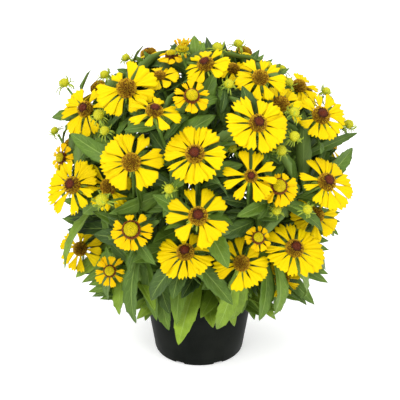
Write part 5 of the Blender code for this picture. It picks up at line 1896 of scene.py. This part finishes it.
@dataclass(frozen=True)
class DiscFinish(Finish):
    """Ochre and brown florets, a faintly glossy maroon cap, or a green-yellow young dome, with painted
    shade low between the florets and a painted highlight on the tops of the cap and the dome.
    """

    # Painted shade at the florets' feet, in their mouths and on the core between them.
    foot: tuple = (0.100, 0.042, 0.004)
    ochre: tuple = (0.72, 0.44, 0.018)
    rust: tuple = (0.36, 0.16, 0.010)
    cap: tuple = (0.042, 0.008, 0.003)
    # Painted highlight on the cap's top and bump tips.
    cap_light: tuple = (0.26, 0.048, 0.012)
    # Painted shade on the young dome's rim and bump feet.
    lime_foot: tuple = (0.46, 0.31, 0.003)
    lime: tuple = (0.90, 0.76, 0.008)
    coat_roughness: float = 0.2

    def paint(self, bench: Bench, kit: Kit) -> Surface:
        """The colour and the height of the surface."""
        chance, kind, high = bench.tones()
        tip = bench.mix(bench.ramp(chance, 0.15, 0.6), self.rust, self.ochre)
        # Painted shade: each floret darkens from its lip to the dark foot colour at its foot and in its
        # mouth, and so does the core between the florets.
        floret = bench.mix(bench.ramp(high, 0.2, 0.95), self.foot, tip)
        # Painted highlight and shade: lighter maroon on the cap's top and bump tips, dark maroon toward
        # its rim and at the bumps' feet.
        closed = bench.mix(bench.ramp(high, 0.2, 0.9), self.cap, self.cap_light)
        # Painted highlight and shade: the lime dome the same way, lighter on top, darker toward its rim
        # and at the bumps' feet.
        fresh = bench.mix(bench.ramp(high, 0.0, 0.5), self.lime_foot, self.lime)
        colour = bench.mix(bench.ramp(kind, 0.0, 0.5), floret, closed)
        colour = bench.mix(bench.ramp(kind, 0.5, 1.0), colour, fresh)
        inputs = bench.shader.inputs
        bench.feed(inputs["Roughness"], bench.ramp(kind, 0.1, 0.4, self.roughness, 0.30))
        bench.feed(inputs["Coat Weight"], bench.times(bench.ramp(kind, 0.2, 0.5),
                                                      bench.ramp(kind, 0.6, 0.9, 0.3, 0.05)))
        bench.feed(inputs["Coat Roughness"], self.coat_roughness)
        shade, height = bench.grain(kit, 300.0, 1500.0, (0.75, 0.75, 0.75), (1.0, 1.0, 1.0))
        return bench.mix(1.0, colour, shade, "MULTIPLY"), height


@dataclass(frozen=True)
class LeafFinish(Finish):
    """Green blades from dark blue-green to bright lime, darker deep in the bush as painted shade, with
    pale veins and a paler under side.
    """

    dark: tuple = (0.028, 0.062, 0.010)
    middle: tuple = (0.105, 0.190, 0.016)
    bright: tuple = (0.24, 0.36, 0.020)
    vein: tuple = (0.30, 0.42, 0.09)
    under: tuple = (0.15, 0.23, 0.050)

    def paint(self, bench: Bench, kit: Kit) -> Surface:
        """The colour and the height of the surface."""
        _, hue, under = bench.tones()
        colour = bench.mix(bench.ramp(hue, 0.0, 0.5), self.dark, self.middle)
        colour = bench.mix(bench.ramp(hue, 0.5, 1.0), colour, self.bright)
        shade, grain = bench.grain(kit, 90.0, 900.0, (0.70, 0.74, 0.72), (1.0, 1.0, 1.0))
        colour = bench.mix(1.0, colour, shade, "MULTIPLY")
        colour = bench.mix(bench.times(under, 0.55), colour, self.under)
        veins = bench.add("ShaderNodeGroup", {"UV": bench.uv(), "Pairs": 9.0}, node_tree=kit.veins)
        midrib, side = veins.outputs["Midrib"], veins.outputs["Side veins"]
        for lines, weight in ((midrib, 0.55), (side, 0.22)):
            colour = bench.mix(bench.times(lines, weight), colour, self.vein)
        return colour, bench.total((grain, 0.5), (midrib, -1.0), (side, -0.6))


@dataclass(frozen=True)
class StalkFinish(Finish):
    """Light green stalks, yellow-green buds with painted shade between their bumps, and bracts."""

    stalk: tuple = (0.16, 0.27, 0.032)
    shade: tuple = (0.07, 0.13, 0.016)
    bud: tuple = (0.70, 0.66, 0.014)
    bract: tuple = (0.36, 0.46, 0.04)

    def paint(self, bench: Bench, kit: Kit) -> Surface:
        """The colour and the height of the surface."""
        chance, kind, high = bench.tones()
        green, height = bench.grain(kit, 60.0, 1100.0, self.shade, self.stalk)
        colour = bench.mix(bench.ramp(kind, 0.0, 0.45), green, self.bract)
        # Painted shade: the bud darkens toward the shade green at its bumps' feet and between them.
        ball_colour = bench.mix(bench.ramp(high, 0.0, 1.0, 0.28, 0.0), self.bud, self.shade)
        colour = bench.mix(bench.ramp(kind, 0.5, 1.0), colour, ball_colour)
        tint = bench.ramp(chance, 0.0, 1.0, 0.8, 1.0)
        tint = bench.add("ShaderNodeCombineColor", {0: tint, 1: tint, 2: tint}).outputs[0]
        return bench.mix(1.0, colour, tint, "MULTIPLY"), height


@dataclass(frozen=True)
class GrainFinish(Finish):
    """Two dark tones and a grain: the pot's faintly dusty plastic, or crumbly peat."""

    first: tuple = (0.0, 0.0, 0.0)
    second: tuple = (0.0, 0.0, 0.0)
    patches: float = 100.0
    grain: float = 1000.0

    def paint(self, bench: Bench, kit: Kit) -> Surface:
        """The colour and the height of the surface."""
        return bench.grain(kit, self.patches, self.grain, self.first, self.second)


class Finishes:
    """All the materials, made once."""

    def __init__(self) -> None:
        """Makes them."""
        kit = Kit()
        self.petal = PetalFinish("yellow_ray", roughness=0.55, bump=0.35, bump_depth=0.25 * MM,
                                 specular=0.06).make(kit)
        self.disc = DiscFinish("brown_disc", roughness=0.75, bump=0.4, bump_depth=0.2 * MM,
                               specular=0.09).make(kit)
        self.leaf = LeafFinish("green_blade", roughness=0.5, bump=0.5, bump_depth=0.35 * MM,
                               specular=0.25).make(kit)
        self.stalk = StalkFinish("green_stalk", roughness=0.55, bump=0.3, bump_depth=0.2 * MM,
                                 specular=0.2).make(kit)
        self.pot = GrainFinish("black_pot", roughness=0.46, bump=0.15, bump_depth=0.1 * MM,
                               specular=0.03, first=(0.0050, 0.0062, 0.0050),
                               second=(0.0105, 0.0120, 0.0100), patches=28.0, grain=1400.0).make(kit)
        self.soil = GrainFinish("peat_soil", roughness=0.95, bump=0.9, bump_depth=1.2 * MM,
                                specular=0.5, first=(0.012, 0.007, 0.004),
                                second=(0.075, 0.042, 0.022), patches=180.0, grain=700.0).make(kit)


# Sub-assemblies

def keep(piece: Object, slot: str, *nodes: str) -> None:
    """Lets a piece ride on the body and stand for its nodes, and logs its face count."""
    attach(piece, "root")
    if nodes:
        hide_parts(*nodes)
    log.info("%s: %d faces", piece.name, len(piece.data.polygons))


def dress(item: Object, name: str, finish: Material, angle: float) -> None:
    """Gives a solid piece its name, its finish, and smooth shading up to an angle in degrees."""
    pick(item)
    bpy.ops.object.shade_smooth_by_angle(angle=math.radians(angle))
    item.name = name
    item.data.materials.clear()
    item.data.materials.append(finish)


@dataclass
class Pot:
    """The round nursery pot, with a rounded edge at its rim, a stepped foot and notches under it."""

    sides: int = 112
    pad_radius: float = 27.0 * MM
    foot_height: float = 3.0 * MM
    foot_width: float = 4.0 * MM
    notch_width: float = 11.0 * MM
    notch_height: float = 2.4 * MM

    def outline(self) -> list[tuple[float, float]]:
        """Radius and height round the wall, from the middle of the underside to the inner floor."""
        pad, ring, top = self.pad_radius, POT_FOOT_RADIUS - self.foot_width, POT_HEIGHT
        inner, floor = POT_RIM_RADIUS - POT_WALL, pot_radius(POT_FLOOR) - POT_WALL
        wall = [(pot_radius(height), height)
                for height in (1.6 * MM, 24.0 * MM, 48.0 * MM, top - 1.0 * MM)]
        return [
            (pad, 0.0), (pad + 0.4 * MM, 0.3 * MM), (pad + 1.0 * MM, self.foot_height),
            (ring - 0.5 * MM, self.foot_height), (ring - 0.1 * MM, 0.3 * MM), (ring + 0.3 * MM, 0.0),
            (POT_FOOT_RADIUS - 1.2 * MM, 0.0), (POT_FOOT_RADIUS - 0.4 * MM, 0.5 * MM), *wall,
            (POT_RIM_RADIUS - 0.25 * MM, top - 0.25 * MM), (POT_RIM_RADIUS - 0.75 * MM, top),
            (inner + 0.25 * MM, top - 0.25 * MM), (inner, top - 1.0 * MM),
            (floor, POT_FLOOR + 1.0 * MM), (floor - 1.0 * MM, POT_FLOOR),
        ]

    def build(self, finish: Material) -> None:
        """Raises the wall ring by ring from a filled circle, then cuts the notches."""
        rings = self.outline()
        pot = add_primitive(bpy.ops.mesh.primitive_circle_add, vertices=self.sides,
                            radius=rings[0][0], fill_type="NGON")
        edit_all()
        bpy.ops.mesh.flip_normals()
        bpy.ops.mesh.select_mode(type="EDGE")
        shell = bmesh.from_edit_mesh(pot.data)
        for face in shell.faces:
            face.select_set(False)
        for edge in shell.edges:
            edge.select_set(True)
        bmesh.update_edit_mesh(pot.data)
        for (radius, height), (wider, higher) in zip(rings, rings[1:]):
            bpy.ops.mesh.extrude_edges_move(
                TRANSFORM_OT_translate={"value": (0.0, 0.0, higher - height)})
            bpy.ops.transform.resize(value=(wider / radius, wider / radius, 1.0))
        bpy.ops.mesh.edge_face_add()
        bpy.ops.mesh.select_all(action="SELECT")
        bpy.ops.mesh.normals_make_consistent(inside=False)
        end_edit()
        self.cut_notches(pot)
        dress(pot, "nursery_pot", finish, 35.0)
        keep(pot, "black_plastic", "pot")

    def cut_notches(self, pot: Object) -> None:
        """Cuts the notches through the foot ring."""
        folder = bpy.data.collections.new("notch_cutters")
        bpy.context.scene.collection.children.link(folder)
        reach = POT_FOOT_RADIUS - self.foot_width * 0.5
        for index in range(FOOT_NOTCHES):
            angle = math.tau * (index + 0.5) / FOOT_NOTCHES - math.pi / 2
            cutter = add_primitive(
                bpy.ops.mesh.primitive_cube_add, size=1.0, rotation=(0.0, 0.0, angle),
                location=(reach * math.cos(angle), reach * math.sin(angle), 0.0),
                scale=(10.0 * MM, self.notch_width, 2 * self.notch_height))
            apply_modifier(cutter, "BEVEL", width=0.8 * MM, segments=3)
            for holder in list(cutter.users_collection):
                holder.objects.unlink(cutter)
            folder.objects.link(cutter)
        apply_modifier(pot, "BOOLEAN", operation="DIFFERENCE", operand_type="COLLECTION",
                       collection=folder, solver="EXACT")
        for cutter in list(folder.objects):
            bpy.data.objects.remove(cutter, do_unlink=True)
        bpy.data.collections.remove(folder)


@dataclass
class Soil:
    """The peat in the pot: an uneven top a little below the rim, and the body under it."""

    sides: int = 96
    rings: int = 16
    ring_width: float = 3.1 * MM
    unevenness: float = 1.1 * MM

    def build(self, finish: Material) -> None:
        """Shapes a tapered plug of peat from a cylinder and makes its top uneven."""
        wall = POT_WALL + GAP + 0.1 * MM
        low, high = POT_FLOOR + GAP, SOIL_TOP
        foot, top = (pot_radius(level) - wall - 0.4 * MM for level in (low, high))
        soil = add_primitive(bpy.ops.mesh.primitive_cylinder_add, vertices=self.sides, radius=top,
                             depth=high - low, location=(0.0, 0.0, (high + low) / 2))
        select_faces(soil, lambda normal: normal.z < -0.9)
        bpy.ops.transform.resize(value=(foot / top, foot / top, 1.0))
        select_faces(soil, lambda normal: normal.z > 0.9)
        for _ in range(self.rings):
            bpy.ops.mesh.inset(thickness=self.ring_width)
        bpy.ops.mesh.poke()
        end_edit()
        chance = random.Random(SEED + 1)
        for corner in soil.data.vertices:
            reach = math.hypot(corner.co.x, corner.co.y)
            if corner.co.z > high - 1.0 * MM and reach < pot_radius(high) - wall - 1.0 * MM:
                bulk = math.sin(corner.co.x * 210.0) * math.cos(corner.co.y * 170.0)
                corner.co.z += self.unevenness * (0.6 * bulk + chance.uniform(-0.6, 0.6))
        dress(soil, "peat_soil", finish, 50.0)
        keep(soil, "potting_soil", "potting_soil")


@dataclass
class BloomHead:
    """One bloom dressed with its rays and its disc."""

    name: str
    spot: Bloom
    moulds: Moulds
    finishes: Finishes
    seen_rays: tuple = ()

    def __post_init__(self) -> None:
        """Gives the bloom its own seeded chance."""
        self.chance = random.Random(int(self.spot.turn * 1e6) + 5)

    @property
    def young(self) -> bool:
        """Whether the rays are still short."""
        return self.spot.stage in (Stage.YOUNG, Stage.OPENING)

    def build(self) -> None:
        """Builds the rays and the disc."""
        self.build_rays()
        self.build_disc()

    def page_angle(self, degrees: float) -> float:
        """The bloom's own angle of a ray that points this way on the page."""
        x, y, _ = self.spot.axes()
        c, s = math.cos(math.radians(degrees)), math.sin(math.radians(degrees))
        along = y.dot(UP_PAGE) * c - y.dot(ACROSS) * s
        beside = x.dot(ACROSS) * s - x.dot(UP_PAGE) * c
        return math.atan2(beside, along)

    def ray_plan(self) -> list[tuple[float, float, float]]:
        """The angle, width and length of each ray, as seen or else by chance."""
        chance = self.chance
        if self.seen_rays:
            return [(self.page_angle(degrees), wide, reach) for degrees, wide, reach in self.seen_rays]
        if self.spot.stage is Stage.OPENING:
            return [(math.tau * (index + chance.uniform(-0.2, 0.2)) / 13, 0.42,
                     chance.uniform(0.8, 1.0)) for index in range(13)]
        count = chance.choice((10, 11, 12) if self.young else (9, 10, 10, 11, 12))
        return [(math.tau * (index + chance.uniform(-0.32, 0.32)) / count,
                 chance.uniform(0.80, 1.25), chance.uniform(0.86, 1.0))
                for index in range(count)]

    def build_rays(self) -> None:
        """Places a ring of rays, some close together and some with a gap between."""
        chance = self.chance
        draft = Draft()
        for index, (angle, wide, reach) in enumerate(self.ray_plan()):
            mould = chance.choices(self.moulds.rays, (5, 4, 4, 3, 1))[0]
            wide *= self.spot.radius / (30.0 * MM)
            if self.young:
                wide *= chance.uniform(0.85, 1.05)
            points = self.place_ray(mould, angle, reach * self.spot.radius, wide, index)
            ripe = chance.uniform(0.55, 1.0) if self.young else chance.uniform(0.0, 0.25)
            if self.spot.stage is Stage.OPENING:
                ripe = 1.6
            draft.add(mould, points, mould.tone + np.array((chance.random(), ripe, 0.0)))
        keep(draft.make(f"{self.name}_rays", self.finishes.petal), "yellow_petals", self.name)

    def place_ray(self, mould: Mould, angle: float, reach: float, wide: float,
                  index: int) -> np.ndarray:
        """Bends one ray to the bloom's rise and droop and turns it to its angle.

        Args:
            mould: The flat ray.
            angle: Where it points, round the bloom.
            reach: How far out its tip is.
            wide: A factor on its width.
            index: Its number, as every second ray lies a little higher.

        Returns:
            Its points.
        """
        chance, spot = self.chance, self.spot
        opening = spot.stage is Stage.OPENING
        x, y, z = mould.points.T
        share = y / RayMould.length
        hub = spot.disc * 0.34
        reach *= 0.72 if opening else 1.0
        out = hub + share * (reach - hub)
        level = 1.1 * out if opening else spot.ray_height(out)
        level = level + chance.uniform(-0.07, 0.05) * reach * share ** 2
        twist = 0.16 + chance.uniform(-0.16, 0.20)
        across = x * wide
        sway = chance.uniform(-0.05, 0.05) * out * share
        height = level + z + across * twist * share + (index % 2) * 1.0 * MM
        c, s = math.cos(angle), math.sin(angle)
        local = np.stack((out * c - (across + sway) * s, out * s + (across + sway) * c, height), axis=1)
        return spot.in_place(local)

    def build_disc(self) -> None:
        """Stands the disc of the bloom's stage in the middle."""
        mould = self.moulds.discs[self.spot.stage]
        size = self.spot.disc * DISC_SHARES[self.spot.stage]
        draft = Draft()
        draft.add(mould, self.spot.in_place(mould.points * size + np.array((0.0, 0.0, 0.30 * size))))
        keep(draft.make(f"{self.name}_disc", self.finishes.disc), "yellow_petals")


@dataclass
class LeafyStem:
    """One stem dressed with its stalks, leaves, cups and buds."""

    name: str
    stem: Stem
    moulds: Moulds
    finishes: Finishes

    def __post_init__(self) -> None:
        """Gives the stem its own seeded chance."""
        self.chance = random.Random(SEED + self.stem.owner)

    def build(self) -> None:
        """Builds the stalks with their cups, then the leaves, then the buds."""
        self.build_stalks()
        self.build_leaves()
        if self.stem.buds:
            self.build_buds()

    def rods(self) -> list[tuple[list[Vector], float, float]]:
        """Every rod of the stem: its path and the radius at its two ends."""
        rods = [(self.stem.main, STEM_RADIUS, BRANCH_RADIUS * 1.1)]
        rods += [(path, BRANCH_RADIUS * 1.1, BRANCH_RADIUS) for path in self.stem.branches]
        rods += [(bud.path, STALK_RADIUS * 1.2, STALK_RADIUS) for bud in self.stem.buds]
        return rods

    def grow_rods(self) -> Mould:
        """Grows all rods as one bevelled curve and turns it into a mesh."""
        curve = bpy.data.curves.new("rods", "CURVE")
        curve.dimensions = "3D"
        curve.bevel_depth = 1.0
        curve.bevel_resolution = 2
        curve.resolution_u = 6
        curve.use_fill_caps = True
        for path, thick, thin in self.rods():
            spline = curve.splines.new("BEZIER")
            spline.bezier_points.add(len(path) - 1)
            for index, (knot, place) in enumerate(zip(spline.bezier_points, path)):
                knot.co = place
                knot.handle_left_type = knot.handle_right_type = "AUTO"
                knot.radius = thick + (thin - thick) * index / (len(path) - 1)
        item = bpy.data.objects.new("rods", curve)
        bpy.context.scene.collection.objects.link(item)
        pick(item)
        bpy.ops.object.convert(target="MESH")
        return Mould.lift(bpy.context.active_object)

    def build_stalks(self) -> None:
        """The green rods and the cup of bracts behind every bloom."""
        draft = Draft()
        rods = self.grow_rods()
        draft.add(rods, rods.points, (0.5, 0.0, 0.0))
        for bloom in self.stem.blooms:
            self.add_cup(draft, bloom)
        keep(draft.make(f"{self.name}_stalks", self.finishes.stalk), "green_leaves", self.name)

    def add_cup(self, draft: Draft, bloom: Bloom) -> None:
        """Adds the green foot under a bloom, with narrow bracts that bend back.

        Args:
            draft: What it is added to.
            bloom: The bloom.
        """
        chance = self.chance
        back = bloom.disc * 0.40
        item = add_primitive(bpy.ops.mesh.primitive_cone_add, vertices=14,
                             radius1=BRANCH_RADIUS * 0.9, radius2=back, depth=3.6 * MM,
                             location=(0.0, 0.0, -2.9 * MM))
        apply_modifier(item, "BEVEL", width=0.5 * MM, segments=2)
        cup = Mould.lift(item)
        draft.add(cup, bloom.in_place(cup.points), (0.6, 0.15, 0.0))
        for step in range(CUP_BRACTS):
            azimuth = math.tau * (step + chance.uniform(-0.3, 0.3)) / CUP_BRACTS
            length = bloom.disc * chance.uniform(0.34, 0.5)
            points = curled(self.moulds.bract, azimuth, back * 0.85, -1.6 * MM, length,
                            chance.uniform(-0.5, -0.1), chance.uniform(-1.4, -0.3), 1.0)
            draft.add(self.moulds.bract, bloom.in_place(points), (chance.random(), 0.4, 0.0))

    def build_leaves(self) -> None:
        """Every large leaf of the stem and the smaller ones between them."""
        chance = self.chance
        draft = Draft()
        leaves = [(leaf, self.moulds.leaves) for leaf in self.stem.leaves]
        leaves += [(leaf, self.moulds.small_leaves) for leaf in self.stem.small_leaves]
        for leaf, kinds in leaves:
            mould = chance.choice(kinds)
            share = mould.points[:, 1] / LEAF_LENGTH
            across = mould.points[:, 0] * leaf.width / LEAF_WIDTH
            points = leaf.blade(share, across, mould.points[:, 2])
            hue = self.hue_of(leaf)
            draft.add(mould, points, mould.tone + np.array((chance.random(), hue, 0.0)))
        keep(draft.make(f"{self.name}_leaves", self.finishes.leaf), "green_leaves")

    def hue_of(self, leaf: Leaf) -> float:
        """How bright a leaf is: darker inside the bush, which is painted shade, and lime low down on its
        outside.
        """
        middle = leaf.point(0.6)
        out = math.sqrt(crown_share(middle))
        low = min(1.0, max(0.0, (135.0 * MM - middle.z) / (50.0 * MM)))
        # Painted shade: leaves nearer the crown's middle get a darker green.
        hue = 0.40 * min(out, 1.0) ** 2 + 0.10 * low + self.chance.uniform(-0.26, 0.36)
        hue += self.chance.choice((0.0, 0.0, 0.1, 0.22)) * low
        return min(0.86, max(0.0, hue))

    def build_buds(self) -> None:
        """A bumpy green-yellow ball with curly bracts on the end of every bud stalk."""
        draft = Draft()
        mould = self.moulds.bud
        for bud in self.stem.buds:
            draft.add(mould, stood_on(mould, bud.spot, bud.facing, bud.radius, bud.radius,
                                      self.chance.uniform(0.0, math.tau)))
        keep(draft.make(f"{self.name}_buds", self.finishes.stalk), "green_leaves")


# The studio

@dataclass(frozen=True)
class Lamp:
    """One soft area lamp, aimed at the bush."""

    name: str
    place: tuple
    width: float
    power: float

    def build(self) -> None:
        """Makes the lamp."""
        data = bpy.data.lights.new(self.name, "AREA")
        data.shape = "DISK"
        data.size = self.width
        data.energy = self.power
        item = bpy.data.objects.new(self.name, data)
        item.location = self.place
        item.rotation_mode = "QUATERNION"
        item.rotation_quaternion = (SIGHT_TARGET - Vector(self.place)).to_track_quat("-Z", "Y")
        bpy.context.scene.collection.objects.link(item)


@dataclass(frozen=True)
class Studio:
    """The camera at the photograph's angle, a plain pale floor and soft light."""

    sensor: float = 36.0
    page_shift: float = 1.0 / 400.0
    floor_colour: tuple = (0.86, 0.86, 0.86)
    floor_glow: float = 0.35
    sky_strength: float = 0.85

    def build_camera(self) -> None:
        """Sets up the camera."""
        data = bpy.data.cameras.new("photo_view")
        data.sensor_width = self.sensor
        data.lens = self.sensor * SIGHT_FOCUS
        data.shift_x = self.page_shift
        camera = bpy.data.objects.new("photo_view", data)
        camera.location = EYE
        camera.rotation_euler = (math.pi / 2 - SIGHT_ANGLE, 0.0, 0.0)
        bpy.context.scene.collection.objects.link(camera)
        bpy.context.scene.camera = camera

    def build_floor(self) -> None:
        """Lays the floor."""
        deselect_all()
        bpy.ops.mesh.primitive_plane_add(size=30.0)
        floor = bpy.context.active_object
        floor.name = "floor"
        finish = bpy.data.materials.new("pale_floor")
        finish.use_nodes = True
        bench = Bench(finish.node_tree)
        values = {"Base Color": self.floor_colour, "Roughness": 0.9, "Specular IOR Level": 0.1,
                  "Emission Color": (1.0, 1.0, 1.0), "Emission Strength": self.floor_glow}
        for name, value in values.items():
            bench.feed(bench.shader.inputs[name], value)
        floor.data.materials.append(finish)

    def build_light(self) -> None:
        """Sets up the lamps and the sky, and keeps colours as they are."""
        for lamp in (
            Lamp("key_lamp", (-1.1, -1.5, 1.9), 1.2, 34.0),
            Lamp("fill_lamp", (1.5, -1.3, 1.2), 1.4, 16.0),
            Lamp("top_lamp", (0.0, 0.5, 2.2), 1.4, 18.0),
        ):
            lamp.build()
        world = bpy.data.worlds.new("white_room")
        world.use_nodes = True
        sky = world.node_tree.nodes["Background"]
        sky.inputs["Color"].default_value = (1.0, 1.0, 1.0, 1.0)
        sky.inputs["Strength"].default_value = self.sky_strength
        bpy.context.scene.world = world
        bpy.context.scene.view_settings.view_transform = "Standard"


def write_sizes() -> None:
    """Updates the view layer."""
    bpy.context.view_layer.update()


def main() -> None:
    """Loads the frame, builds the pieces in order and sets up the studio."""
    logging.basicConfig(level=logging.INFO, format="%(message)s")
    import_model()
    studio = Studio()
    studio.build_camera()
    plan = Plan()
    moulds = Moulds()
    finishes = Finishes()
    Pot().build(finishes.pot)
    Soil().build(finishes.soil)
    for index, bloom in enumerate(plan.blooms):
        BloomHead(f"bloom_{index + 1:02d}", bloom, moulds, finishes,
                  SEEN_RAYS.get(index + 1, ())).build()
    for index, stem in enumerate(plan.stems):
        LeafyStem(f"leafy_stem_{index + 1:02d}", stem, moulds, finishes).build()
    studio.build_floor()
    studio.build_light()
    write_sizes()


if __name__ == "__main__":
    main()
